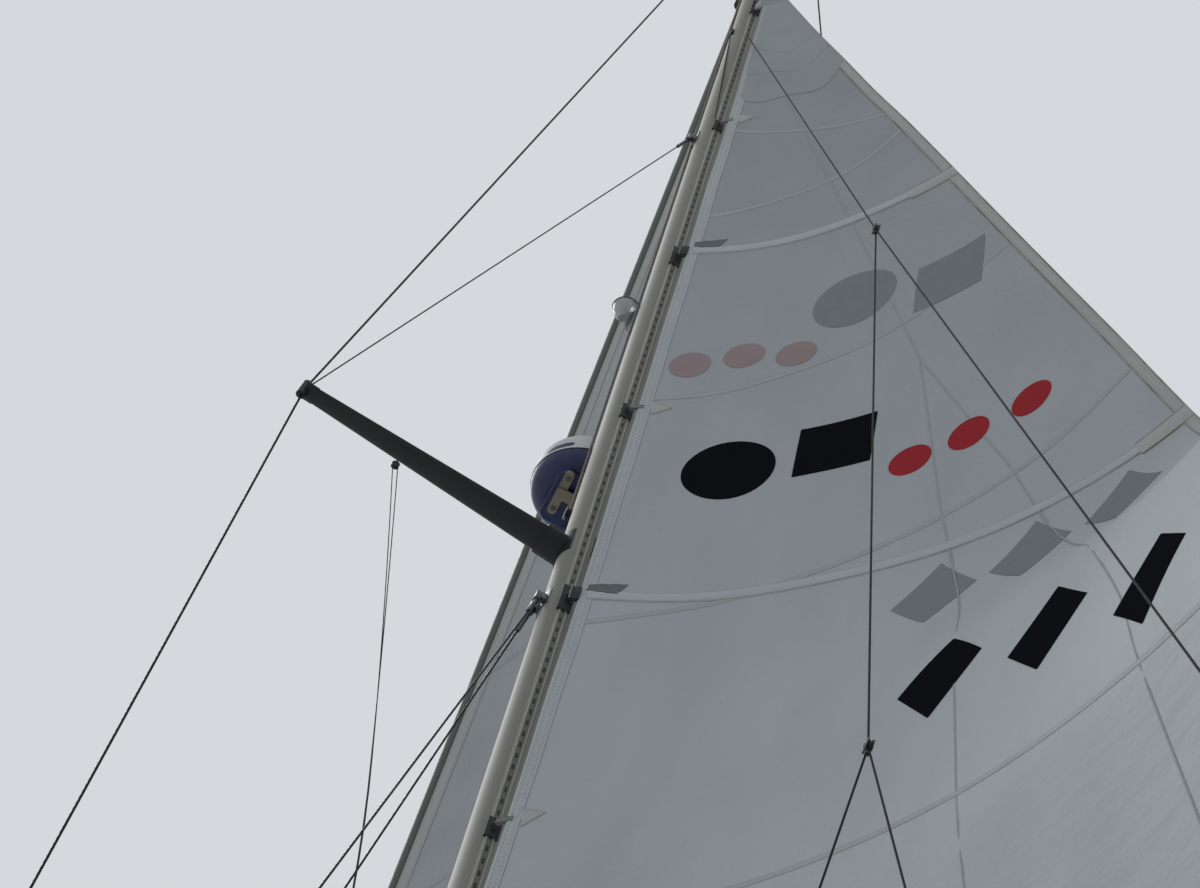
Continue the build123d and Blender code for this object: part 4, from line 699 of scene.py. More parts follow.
def boom_point(along, side=0.0, up=0.0):
    """Point a distance aft along the boom from the swing axis, to port of its centre and above it."""
    back = Vector((-math.cos(BOOM_ANGLE), -math.sin(BOOM_ANGLE), 0))
    port = Vector((-math.sin(BOOM_ANGLE), math.cos(BOOM_ANGLE), 0))
    return Vector((LUFF_X, 0, BOOM_Z + up)) + back * along + port * side


# ---- Sail surfaces ----


def column(first, last, count):
    return np.linspace(first, last, count)[:, None]


def row(first, last, count):
    return np.linspace(first, last, count)[None, :]


def smooth_rows(rows, at):
    """Values between the rows of a table, on curves that never overshoot."""
    table = np.array(rows, float)
    x, y = table[:, 0], table[:, 1:]
    slope = np.diff(y, axis=0) / np.diff(x)[:, None]
    low, high = slope[:-1], slope[1:]
    same = low * high > 0
    inner = np.where(same, 2 * low * high / np.where(same, low + high, 1), 0)
    tangent = np.vstack([slope[:1], inner, slope[-1:]])
    k = np.clip(np.searchsorted(x, at, side="right") - 1, 0, len(x) - 2)
    span = (x[k + 1] - x[k])[..., None]
    t = ((at - x[k]) / (x[k + 1] - x[k]))[..., None]
    return ((2 * t ** 3 - 3 * t ** 2 + 1) * y[k] + (t ** 3 - 2 * t ** 2 + t) * span * tangent[k]
            + (3 * t ** 2 - 2 * t ** 3) * y[k + 1] + (t ** 3 - t ** 2) * span * tangent[k + 1])


def to_leeward(vectors):
    """Unit vectors along these, each turned to starboard, which is to leeward."""
    vectors = vectors / np.linalg.norm(vectors, axis=-1, keepdims=True)
    return vectors * np.where(vectors[..., 1:2] > 0, -1.0, 1.0)


def arc_points(start, end, belly, share):
    """Points on the arc from start to end that bows belly to leeward at its middle."""
    chord = end - start
    lee = to_leeward(np.stack([chord[..., 1], -chord[..., 0], 0 * chord[..., 0]], -1))
    length = np.linalg.norm(chord, axis=-1)
    belly = np.maximum(belly, 1e-5)
    radius = (length ** 2 / 4 + belly ** 2) / (2 * belly)
    turn = (2 * share - 1) * np.arcsin(np.clip(length / 2 / radius, 0, 1))
    along = (length / 2 + radius * np.sin(turn)) / length
    bow = radius * np.cos(turn) - (radius - belly)
    return start + chord * along[..., None] + lee * bow[..., None]


def main_length(z):
    """Length of the cloth from luff to leech at a height."""
    values = smooth_rows(MAIN_ROWS, np.asarray(z, float))
    return values[..., 0] * (1 + 8 / 3 * values[..., 2] ** 2)


def main_plain(u, z):
    values = smooth_rows(MAIN_ROWS, z)
    chord, turn, camber, rise = (values[..., k] for k in range(4))
    turn, rise = np.radians(turn), np.radians(rise)
    start = np.stack([np.full_like(z, LUFF_X), 0 * z, z], -1)
    end = np.stack([LUFF_X - chord * np.cos(turn) * np.cos(rise), -chord * np.sin(turn) * np.cos(rise),
                    z + chord * np.sin(rise)], -1)
    return arc_points(start, end, camber * chord, u)


def main_relief(u, z):
    """Small folds of the cloth, in metres to leeward."""
    length = main_length(z)
    s = u * length
    luff = np.exp(-(s / 0.30) ** 2)
    leech = np.exp(-((length - s) / 0.45) ** 2)
    phase = (z - SLIDE_HEIGHTS[0]) / CAR_PITCH
    folds = 0.0045 * luff * np.cos(2 * np.pi * phase)
    folds += (0.004 * np.exp(-(s / 0.8) ** 2) * np.sin(2 * np.pi * (z * 1.9 + s * 1.3))
              * np.minimum(1, s / 0.1))
    folds += 0.006 * leech * np.sin(2 * np.pi * (z / 0.62 + s * 0.9))
    folds += 0.005 * np.sin(1.7 * z + 2.1 * s + 0.6) * np.sin(2.9 * s - 0.7 * z)
    folds += 0.003 * np.sin(4.1 * z - 3.3 * s) * np.sin(2.3 * s + 1.1 * z + 1.0)
    return folds * np.minimum(1, length / 0.6)


def jib_line():
    """Foot of the headsail's luff line, and the directions up the stay and aft from it."""
    along = (FORESTAY_HEAD - FORESTAY_FOOT).normalized()
    back = Vector((0, 1, 0)).cross(along)
    back = -back if back.x > 0 else back
    entry = back * math.cos(FOIL_TURN) + Vector((0, -1, 0)) * math.sin(FOIL_TURN)
    return FORESTAY_FOOT + entry * JIB_LUFF_OUT, along, back


def jib_plain(u, t):
    base, along, back = (np.array(v) for v in jib_line())
    values = smooth_rows(JIB_ROWS, t)
    luff = base + along * (JIB_TACK + (JIB_HEAD - JIB_TACK) * t)[..., None]
    head = base + along * JIB_HEAD + back * JIB_HEAD_CHORD
    clew = np.array(JIB_CLEW)
    leech = clew + (head - clew) * values[..., 0:1]
    return arc_points(luff, leech, values[..., 1] * np.linalg.norm(leech - luff, axis=-1), u)


def jib_ripple(u, t):
    fade = np.clip(u * 8, 0, 1) * np.clip((1 - t) * 6, 0, 1)
    return 0.004 * np.sin(60 * t + 7 * u) * np.sin(9 * u) * fade


def sail_surface(plain, relief, low, high, step):
    """Function for the point and leeward normal of a sail at a share of its width and a height."""
    def surface(u, z):
        u, z = np.broadcast_arrays(np.asarray(u, float), np.asarray(z, float))
        z = np.clip(z, low, high)
        along = plain(u + 1e-3, z) - plain(u - 1e-3, z)
        up = plain(u, np.clip(z + step, low, high)) - plain(u, np.clip(z - step, low, high))
        normal = to_leeward(np.cross(up, along))
        return plain(u, z) + normal * relief(u, z)[..., None], normal
    return surface


main_surface = sail_surface(main_plain, main_relief, TACK_Z, HEAD_Z, 2e-3)
jib_surface = sail_surface(jib_plain, jib_ripple, 0, 1, 1e-3)


def grid_faces(rows, columns, first=0):
    corners = [first + j * columns + k for j in range(rows - 1) for k in range(columns - 1)]
    return [(a, a + 1, a + columns + 1, a + columns) for a in corners]


def cloth_band(name, u, z, lift, surface=main_surface, faces_out=(1, 1)):
    """Closed band over both faces of a sail. Rows run along it and columns across it.

    lift is how far it stands off the middle of the cloth, and faces_out scales that to leeward and
    to windward, so that a film on one face only has a small negative value for the other."""
    u, z, lift = np.broadcast_arrays(u, z, lift)
    point, normal = surface(u, z)
    rows, columns = u.shape
    out = normal * lift[..., None]
    vertices = np.concatenate([(point + out * faces_out[0]).reshape(-1, 3),
                               (point - out * faces_out[1]).reshape(-1, 3)])
    if not np.isfinite(vertices).all():
        raise ValueError(f"{name} has a point that is not a number")
    count = rows * columns
    faces = grid_faces(rows, columns) + [quad[::-1] for quad in grid_faces(rows, columns, count)]
    rim = list(range(columns)) + [j * columns + columns - 1 for j in range(1, rows)]
    rim += [(rows - 1) * columns + k for k in range(columns - 2, -1, -1)]
    rim += [j * columns for j in range(rows - 2, 0, -1)]
    faces += [(a, a + count, b + count, b) for a, b in zip(rim, rim[1:] + rim[:1])]
    mesh = bpy.data.meshes.new(name)
    mesh.from_pydata([tuple(v) for v in vertices], [], faces)
    # metres along the band and in from its nearest edge, then its place on the sail
    run = np.linalg.norm(np.diff(point[:, columns // 2], axis=0), axis=1)
    run = np.concatenate([[0], np.cumsum(run)])[:, None]
    across = np.cumsum(np.linalg.norm(np.diff(point, axis=1), axis=2), axis=1)
    across = np.concatenate([np.zeros((rows, 1)), across], axis=1)
    inset = np.minimum(across, across[:, -1:] - across)
    for layer, pair in (("UVMap", np.broadcast_arrays(run, inset)), ("Share", (u, z))):
        set_uvs(mesh, layer, np.tile(np.stack(pair, -1).reshape(-1, 2), (2, 1)))
    mesh.update()
    piece = bpy.data.objects.new(name, mesh)
    bpy.context.scene.collection.objects.link(piece)
    return edit_whole(piece, face_out)


def sail_band(name, s, z, lift, **options):
    """Band on the mainsail by metres from the luff and luff height."""
    return cloth_band(name, s / main_length(z), z, lift, **options)


def main_band(name, u, middle, width, lift, columns=3):
    """Band of the given width that follows a path on the mainsail, mostly across it."""
    return cloth_band(name, u, middle + row(-0.5, 0.5, columns) * width, lift)


def pocket_bulge(offset):
    """How far a batten stands the cloth off, at a height above the batten's middle."""
    half = sizes().pocket_width / 2
    return 0.002 + 0.0055 * np.clip(np.cos(np.pi / 2 * np.clip(offset / half, -1, 1)), 0, 1) ** 0.8


def main_edge(name, near, far, lift, edge="luff"):
    """Tape along the luff or the leech, between two distances from it."""
    z = column(TACK_Z, HEAD_Z, MAIN_STEPS)
    inward = row(near, far, len(lift)) / main_length(z)
    return cloth_band(name, inward if edge == "luff" else 1 - inward, z, lift)


def fan(reach, steps, wave=0.0):
    """Quarter of a disc about a sail's corner: metres across it and up it."""
    angle = column(0, np.pi / 2, steps)
    radius = row(0.004, 1, 9) * reach * (1 + wave * np.cos(4 * angle))
    return radius * np.cos(angle), radius * np.sin(angle)


def film(name, centre, outline, side, lift=0.0022):
    """Thin film on one face of the mainsail. centre is metres from the luff and luff height."""
    faces_out = (1.0, -0.55) if side == STARBOARD else (-0.55, 1.0)
    return sail_band(name, centre[0] + outline[0], centre[1] + outline[1], lift, faces_out=faces_out)


def leaf(name, start, end, height, middle, lift, fullness=0.35):
    """Patch pointed at one end and cut on the slant at the other, on both faces."""
    share, across = column(0.02, 1, 26), row(-0.5, 0.5, 9)
    s = start + (end - start) * share + (end - start) * 0.22 * across * share
    z = middle + across * height * share ** fullness * (1 + 0.05 * np.sin(share * 19))
    return sail_band(name, s, z, lift(z) if callable(lift) else lift)


def on_sail(s, z, out=0.0):
    """Point a distance to leeward of the mainsail, s metres from the luff."""
    point, normal = main_surface(s / main_length(z), z)
    return Vector(point + normal * out)


def sail_path(stops, out, step=0.09):
    """Points along straight runs on the cloth between (s, z) stops."""
    points = []
    for (s0, z0), (s1, z1) in zip(stops, stops[1:]):
        count = max(2, int(math.hypot(s1 - s0, z1 - z0) / step))
        points += [on_sail(s0 + (s1 - s0) * k / count, z0 + (z1 - z0) * k / count, out) for k in range(count)]
    return points + [on_sail(*stops[-1], out)]


def disc(radius):
    angle, spread = column(0, 2 * np.pi, 41), row(0.001, 1, 5) * radius
    return spread * np.cos(angle), spread * np.sin(angle)


def diamond(half_width, half_height):
    """Diamond as rows up its height, each as wide as it is there."""
    up = column(-0.98, 0.98, 25)
    return row(-1, 1, 9) * (1 - np.abs(up)) * half_width, up * half_height


def slab(width, height):
    return column(-0.5, 0.5, 14) * width, row(-0.5, 0.5, 6) * height


# ---- Makers ----


class YACHTRIG_OT_stage(bpy.types.Operator):
    """Makes the floor, the soft studio light and the camera at the photograph's angle"""
    bl_idname = "yacht_rig.stage"
    bl_label = "Stage, Light and Camera"

    def execute(self, context):
        scene = context.scene
        floor = primitive("grid", "studio_floor", size=700, x_subdivisions=8, y_subdivisions=8,
                          location=(0, 0, -0.002))
        # matt paper: even, with a very slight mottle
        paper, tree, skin = new_material("matt_paper_floor", roughness=0.9)
        mottled(tree, skin, colours().floor, 0.02, 0.4)
        floor.data.materials.append(paper)

        world = bpy.data.worlds.new("pale_studio")
        scene.world = world
        world.use_nodes = True
        tree = world.node_tree
        tree.nodes.clear()
        # the camera, mirrors and clear parts see the backdrop, and all else is lit by a softer white
        seen = node(tree, "LightPath", out="Is Camera Ray")
        for other in ("Is Glossy Ray", "Is Transmission Ray"):
            seen = node(tree, "Math", {0: seen, 1: node(tree, "LightPath", out=other)}, operation="MAXIMUM")
        light = node(tree, "Background", {"Color": (0.95, 0.965, 1.0, 1), "Strength": 0.53})
        shown = node(tree, "Background", {"Color": shade(colours().backdrop), "Strength": 1.0})
        surface = tree.nodes.new("ShaderNodeOutputWorld").inputs["Surface"]
        node(tree, "MixShader", {0: seen, 1: light, 2: shown}, 0, surface)

        # heading and height in degrees, strength, and how wide the light is in degrees
        for name, heading, height, strength, spread in (("key", 30, 46, 0.95, 25),
                                                        ("fill", 215, 30, 0.12, 60)):
            lamp = bpy.data.lights.new(name, "SUN")
            lamp.energy = strength
            lamp.angle = math.radians(spread)
            piece = bpy.data.objects.new(name, lamp)
            scene.collection.objects.link(piece)
            turn, lift = math.radians(heading), math.radians(height)
            level = Vector((math.cos(turn), math.sin(turn), 0)) * math.cos(lift)
            piece.rotation_mode = "QUATERNION"
            piece.rotation_quaternion = (level + Vector((0, 0, math.sin(lift)))).to_track_quat("Z", "Y")

        # place, turn and lens of the camera, solved from where mast, stays and spreader are in the photograph
        yaw, pitch, roll, focal_px, width_px = -1.431, 0.936, 0.318, 2644.5, 1200
        place = (-5.432, 0.805, 0.693)
        level = Vector((-math.sin(yaw), -math.cos(yaw), 0))
        right = Vector((-math.cos(yaw), math.sin(yaw), 0))
        ahead = level * math.cos(pitch) + Vector((0, 0, math.sin(pitch)))
        above = -level * math.sin(pitch) + Vector((0, 0, math.cos(pitch)))
        x_axis = right * math.cos(roll) + above * math.sin(roll)
        y_axis = -right * math.sin(roll) + above * math.cos(roll)
        data = bpy.data.cameras.new("camera")
        data.sensor_width = 36
        data.lens = focal_px / width_px * data.sensor_width
        data.clip_start, data.clip_end = 0.05, 400
        camera = bpy.data.objects.new("camera", data)
        scene.collection.objects.link(camera)
        camera.matrix_world = shift(*place) @ Matrix((x_axis, y_axis, -ahead)).transposed().to_4x4()
        scene.camera = camera
        scene.view_settings.view_transform = "Standard"
        return {"FINISHED"}


# Solids by finish; * stands for port and for starboard
NODE_FINISH = {
    "mast": "mast_heel",
    "mast_wall": "mast_tube",
    "boom": "boom_tube",
    "casting": "masthead boom_ends boom_toggles gooseneck_bracket vang_bracket vang_lug clew_car vang_rod "
               "winch_bases lamp_bracket headboard",
    "stained": "radome_bracket",
    "black": "spreader_* spreader_bracket_* spreader_tip_* vang_tube",
    "foil": "luff_foil",
    "track": "luff_track",
    "steel": "tangs toggles_* toggles_centre turnbuckles_* turnbuckles_centre stay_ends_* stay_ends_centre",
    "wire": "cap_shroud_* inner_stay_* fore_lower_* aft_lower_* babystay backstay forestay",
    "plastic": "luff_cars furler_drum halyard_swivel masthead_sheaves aerial wind_vane",
    "white": "radome_top masthead_light",
    "navy": "radome_base",
    "lens": "steaming_light",
    "chrome": "winch_drum_*",
    "cloth": "mainsail headsail",
}


class YACHTRIG_OT_finishes(bpy.types.Operator):
    """Makes every material and gives the carried-over solids theirs"""
    bl_idname = "yacht_rig.finishes"
    bl_label = "Materials"

    def execute(self, context):
        make_materials()
        for finish, members in NODE_FINISH.items():
            for member in members.split():
                for side in ("port", "starboard"):
                    solid = NODES[member.replace("*", side)]
                    solid.data.materials.clear()
                    solid.data.materials.append(MATERIALS[finish])
        return {"FINISHED"}


class YACHTRIG_OT_mainsail(bpy.types.Operator):
    """Makes the mainsail's cloth, seams, tapes, batten pockets, corner plies, marks and luff patches"""
    bl_idname = "yacht_rig.mainsail"
    bl_label = "Mainsail"

    def execute(self, context):
        z = column(TACK_Z, HEAD_Z, MAIN_STEPS)
        start = LUFF_GAP / main_length(z)
        u = start + (1 - start) * row(0, 1, 101)
        cloth = cloth_band("mainsail_cloth", u, z, sizes().cloth_thick / 2)
        flat = np.stack(np.broadcast_arrays(u * main_length(z), z), -1).reshape(-1, 2)
        set_uvs(cloth.data, "UVMap", np.tile(flat, (2, 1)))
        finished(cloth, "cloth", "boom")
        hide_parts("mainsail")

        extras = []

        def sewn(piece, finish):
            extras.append(finished(piece, finish, "boom"))

        for number, (height, climb, gather) in enumerate(SEAMS, 1):
            share = column(LUFF_GAP / float(main_length(height)), 1, 100)
            sewn(main_band(f"mainsail_seam_{number}", share, height + climb * share ** gather,
                           sizes().seam_width, 0.0018), "panel_seam")
        for number, height in enumerate(BATTEN_HEIGHTS, 1):
            length, width = float(main_length(height)), sizes().pocket_width
            # each pocket, then its leech end, which is doubled for 0.2 m
            for label, u, width, extra, finish in (
                    ("pocket", column(0.055 / length, 1, 110), width, 0, "pocket"),
                    ("end", 1 - column(0.20, 0, 16) / length, width * 1.5, 0.0012, "pocket_end")):
                bulge = pocket_bulge(row(-0.5, 0.5, 9) * width) + extra
                sewn(main_band(f"batten_{label}_{number}", u, height, width, bulge, 9), finish)
        # the luff tape is thickest over the bolt rope
        sewn(main_edge("luff_tape", LUFF_GAP - 0.001, 0.075, (0.0008, 0.0042, 0.0052, 0.0042) + (0.0026,) * 5),
             "luff_tape")
        sewn(main_edge("leech_tape", -0.0015, 0.045, (0.0024,) * 3, "leech"), "tape")
        sewn(cloth_band("foot_tape", column(LUFF_GAP / 4, 1, 160), TACK_Z + row(0, 0.05, 3), 0.0026), "tape")
        for number, reach in enumerate((0.62, 0.46, 0.30)):
            lift = 0.0030 + 0.0007 * number
            out, up = fan(reach, 22, 0.06)
            up = TACK_Z + 0.004 + up
            share = np.clip(out / main_length(up), 0, 1)
            sewn(cloth_band(f"tack_ply_{number + 1}", share, up, lift), "ply")
            sewn(cloth_band(f"clew_ply_{number + 1}", 1 - share, up, lift), "ply")
            # the head plies hang lowest in the middle
            low = HEAD_Z - 0.85 + 0.22 * number
            height, across = column(0, 1, 30), row(0, 1, 15)
            dip = 0.12 * (1 - (2 * across - 1) ** 2) + 0.025 * np.sin(across * 11 + number)
            up = low - dip * (1 - height) + height * (HEAD_Z - low)
            gap = LUFF_GAP / main_length(up)
            sewn(cloth_band(f"head_ply_{number + 1}", gap + (1 - gap) * across, up, lift), "head_ply")

        # metres above the two upper battens
        for batten, above in zip(BATTEN_HEIGHTS, (0.05, 0.035)):
            sewn(leaf(f"wear_patch_{len(extras)}", 0.036, 0.16, 0.062, batten + above,
                      lambda z: pocket_bulge(z - batten) + 0.0012), "patch")
        for height in SLIDE_HEIGHTS:
            sewn(leaf(f"slide_patch_{len(extras)}", 0.15, 0.074, 0.09, height, 0.0030, 1.0), "tape")

        # each mark is a film on its own face, and shows as a ghost through the other
        outlines = {"disc": disc(0.16), "square": slab(0.27, 0.27), "red": disc(0.075),
                    "diamond": diamond(0.14, 0.22)}
        for number, (side, shape, centre) in enumerate(MARKS, 1):
            finish, ghost = ("accent", "ghost_red") if shape == "red" else ("mark", "ghost")
            sewn(film(f"mark_{number}", centre, outlines[shape], side), finish)
            sewn(film(f"mark_shade_{number}", centre, outlines[shape], -side), ghost)
        return {"FINISHED"}


class YACHTRIG_OT_headsail(bpy.types.Operator):
    """Makes the furling headsail, its seams, edge tapes, corner plies and clew ring"""
    bl_idname = "yacht_rig.headsail"
    bl_label = "Headsail"

    def execute(self, context):
        t = column(0, 1, JIB_STEPS)
        cloth = cloth_band("headsail_cloth", row(0, 1, 61), t, sizes().cloth_thick / 2, jib_surface)
        finished(cloth, "jib_cloth", "rig")
        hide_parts("headsail")

        def sewn(name, u, t, lift, finish):
            finished(cloth_band(name, u, t, lift, jib_surface), finish, "rig")

        share = column(0, 1, 70)
        for number in range(11):
            height = (number + 0.7) / 11.5 + 0.02 * share + row(-1, 1, 3) * sizes().seam_width / 25
            sewn(f"headsail_seam_{number + 1}", share, height, 0.0018, "panel_seam")
        width = np.linalg.norm(jib_plain(0 * t + 1, t) - jib_plain(0 * t, t), axis=-1)
        sewn("headsail_luff_tape", row(-0.003, 0.055, 5) / width, t, 0.0026, "tape")
        sewn("headsail_leech_tape", 1 - row(-0.0015, 0.055, 5) / width, t, 0.0026, "tape")
        sewn("headsail_foot_tape", column(0, 1, 140), row(0, 0.0045, 5), 0.0026, "tape")
        for number, reach in enumerate((0.60, 0.42, 0.26)):
            across, up = fan(reach, 20)
            for label, edge in (("tack", 0), ("clew", 1)):
                sewn(f"headsail_{label}_ply_{number + 1}", np.abs(edge - across / width[0, 0]),
                     up / (JIB_HEAD - JIB_TACK), 0.0030 + 0.0007 * number, "ply")
        ring = placed(torus("headsail_clew_ring", 0.022, 0.005, 32, 10), aim(*jib_surface(0.985, 0.004)))
        finished(ring, "steel", "rig")
        return {"FINISHED"}


class YACHTRIG_OT_luff_gear(bpy.types.Operator):
    """Makes the track screws and the rings, straps, batten ends and lashings that hold the mainsail"""
    bl_idname = "yacht_rig.luff_gear"
    bl_label = "Luff Gear"

    def execute(self, context):
        pitch = sizes().screw_pitch
        count = int((TRACK_TOP_Z - TRACK_FOOT_Z) / pitch)
        heights = [TRACK_FOOT_Z + pitch * (k + 0.5) for k in range(count)]
        cars = BATTEN_HEIGHTS + SLIDE_HEIGHTS + (HEAD_Z + 0.06,)
        screw = turned("track_screws", ((0.0045, 0), (0.0040, 0.0006), (0.0022, 0.0007), (0.0018, 0.0003)), 10)
        finished(repeated(screw, [aim((TRACK_FACE_X + 0.0002, 0, z), (-1, 0, 0)) for z in heights
                                  if all(abs(z - car) > 0.075 for car in cars)]), "screw", "rig")

        radius = 0.0092
        places = [shift(LUG_HOLE_X - radius, 0, z) for z in BATTEN_HEIGHTS + SLIDE_HEIGHTS]
        finished(repeated(torus("luff_rings", radius, 0.0012, 28, 8), places), "steel", "rig")

        for number, height in enumerate(SLIDE_HEIGHTS, 1):
            finished(sail_band(f"slide_strap_{number}", column(-0.001, 0.050, 14),
                               height + row(-0.010, 0.010, 5), 0.0058), "strap", "boom")
        for number, height in enumerate(BATTEN_HEIGHTS, 1):
            shell = 0.006 + 0.006 * np.cos(row(-1.3, 1.3, 9))
            finished(sail_band(f"batten_socket_{number}", column(0.004, 0.032, 10),
                               height + row(-0.031, 0.031, 9), shell), "plastic", "boom")
            ends = [(LUFF_X - 0.009, 0, height + up) for up in (-0.036, 0.036)]
            finished(line(f"batten_pin_{number}", ends, 0.003), "steel", "boom")

        # aft along the headboard, and across it
        out = Vector((-math.cos(math.radians(47)), -math.sin(math.radians(47)), 0))
        over = Vector((-out.y, out.x, 0)) * 0.0105
        lashings, links = [], []
        for height in (11.515, 11.528, 11.541, 11.554):
            fore, aft = Vector((-0.104, 0, height)), Vector((LUFF_X, 0, height)) + out * 0.016
            middle, side = (fore + aft) / 2, Vector((0, 0.0095, 0))
            loop = [fore + side * 0.6, middle + side, aft + side * 0.9, aft - side * 0.9, middle - side,
                    fore - side * 0.6, fore + side * 0.6]
            lashings.append(line("head_lashing", loop, 0.0028, True))
        finished(joined("head_lashings", lashings), "halyard", "rig")
        # black webbing round the headboard, from its front edge
        for height in (11.585, 11.600, 11.615, 11.632):
            fore, aft = Vector((LUFF_X + 0.004, 0, height)), Vector((LUFF_X, 0, height)) + out * 0.038
            middle = (fore + aft) / 2
            loop = [fore - over, fore + over, middle + over, aft + over, aft + out * 0.008, aft - over,
                    middle - over, fore - over]
            links.append(line("head_link", loop, 0.0055, True))
        finished(joined("head_links", links), "webbing", "boom")

        # ring in each lower corner, lashed round the tack horn or the clew car: the ring's place on the sail,
        # then how far aft the horn or car is, half the wraps' length (towards the ring) and width, and
        # their height
        drop = Vector((0, 0, -0.018))
        for label, s, height, along, half, side, up in (("tack", 0.088, 1.180, 0.078, 0.0095, 0.0185, 0.078),
                                                        ("clew", 3.925, 1.178, 3.950, -0.0310, 0.0255, 0.098)):
            point, normal = (Vector(v) for v in main_surface(s / float(main_length(height)), height))
            ring = torus(f"{label}_ring", 0.014, 0.0055, 32, 12)
            finished(placed(ring, aim(point, normal)), "steel", "boom")
            wraps, out = [], normal * 0.0095
            for rise in (-0.0035, 0.0035):
                eye, level = point + Vector((0, 0, rise)), up + rise
                round_it = [boom_point(along + near * half, lee * side, level)
                            for near, lee in ((1, -1), (-1, -1), (-1, 1), (1, 1))]
                loop = [eye, eye + out, eye + out + drop, *round_it, eye - out + drop, eye - out, eye]
                wraps.append(line(f"{label}_wrap", loop, 0.0028))
            finished(joined(f"{label}_lashing", wraps), "halyard", "boom")
        return {"FINISHED"}


class YACHTRIG_OT_lazy_jacks(bpy.types.Operator):
    """Makes the lazy jacks on both sides of the mainsail, with their blocks, eyes and shadow on the cloth"""
    bl_idname = "yacht_rig.lazy_jacks"
    bl_label = "Lazy Jacks"

    def execute(self, context):
        thick = sizes().jack_radius

        def on_boom(along, side):
            return boom_point(along, side * 0.056, 0.016)

        top = Vector((LUFF_X - 0.006, 0.004, 11.19))
        upper, lower = Vector((-1.31, -0.402, 8.02)), Vector((-1.65, -0.528, 5.25))
        runs = [(top, upper), (upper, on_boom(4.1, PORT)), (upper, lower), (lower, on_boom(0.75, PORT)),
                (lower, on_boom(3.0, PORT))]
        finished(joined("lazy_jack_port", [line("jack", run, thick) for run in runs]), "rope", "boom")
        finished(repeated(pulley("lazy_jack_blocks", 0.022),
                          [aim(p, (0.1, 1, 0.1), (1, 0, -0.2)) for p in (upper, lower)]), "plastic", "boom")

        # with the sail full the lee lines lie along the cloth, and show through it as faint dark strips
        apex = (1.03, 8.28)
        stops = ([(0.03, 11.19), apex], [apex, (1.17, 7.42), (1.66, 4.90), (2.0, 3.0), (2.3, 1.30)],
                 [apex, (1.41, 7.47), (2.13, 5.52), (2.7, 3.4), (3.3, 1.30)])
        ends = ([], [on_boom(2.3, STARBOARD)], [on_boom(3.3, STARBOARD)])
        lines = [line("lee_jack", sail_path(stop, thick + 0.008) + end, thick) for stop, end in zip(stops, ends)]
        finished(joined("lazy_jack_starboard", lines), "rope", "boom")
        for number, stop in enumerate(stops, 1):
            run = np.linspace(0, len(stop) - 1, 60)
            s, z = (np.interp(run, range(len(stop)), values)[:, None] for values in zip(*stop))
            finished(sail_band(f"line_shade_{number}", s + row(-0.003, 0.003, 3), z, 0.0020,
                               faces_out=(-0.55, 1.0)), "shade", "boom")

        # each leg ends at an eye strap on the side of the boom
        eye = placed(torus("jack_eye_ring", 0.0095, 0.002, 24, 8), shift(0, 0.009, 0) @ spin(math.pi / 2, "Y"))
        eye = joined("jack_eyes", [block("jack_eye_plate", (0.034, 0.004, 0.013), 0.001), eye])
        places = [shift(*boom_point(along, side * 0.0425, 0.010)) @ spin(BOOM_ANGLE + turn, "Z")
                  for side, turn, stations in ((PORT, 0, (0.75, 3.0, 4.1)), (STARBOARD, math.pi, (2.3, 3.3)))
                  for along in stations]
        finished(repeated(eye, places), "steel", "boom")
        return {"FINISHED"}


def horn_cleat(name, place):
    """Cleat with two tapered horns along Z."""
    foot = block(f"{name}_foot", (0.016, 0.012, 0.034), 0.003)
    bar = placed(primitive("cube", name, size=1), shift(0, 0.011, 0) @ Matrix.Diagonal((0.012, 0.010, 0.05, 1)))
    for sign in (1, -1):
        edit_faces(bar, lambda face: face.normal.z * sign > 0.9, lambda: (
            bpy.ops.mesh.extrude_region_move(TRANSFORM_OT_translate={"value": (0, 0.004, sign * 0.034)}),
            bpy.ops.transform.resize(value=(0.6, 0.5, 1))))
    return placed(joined(name, [foot, bevelled(bar, 0.002)]), place)


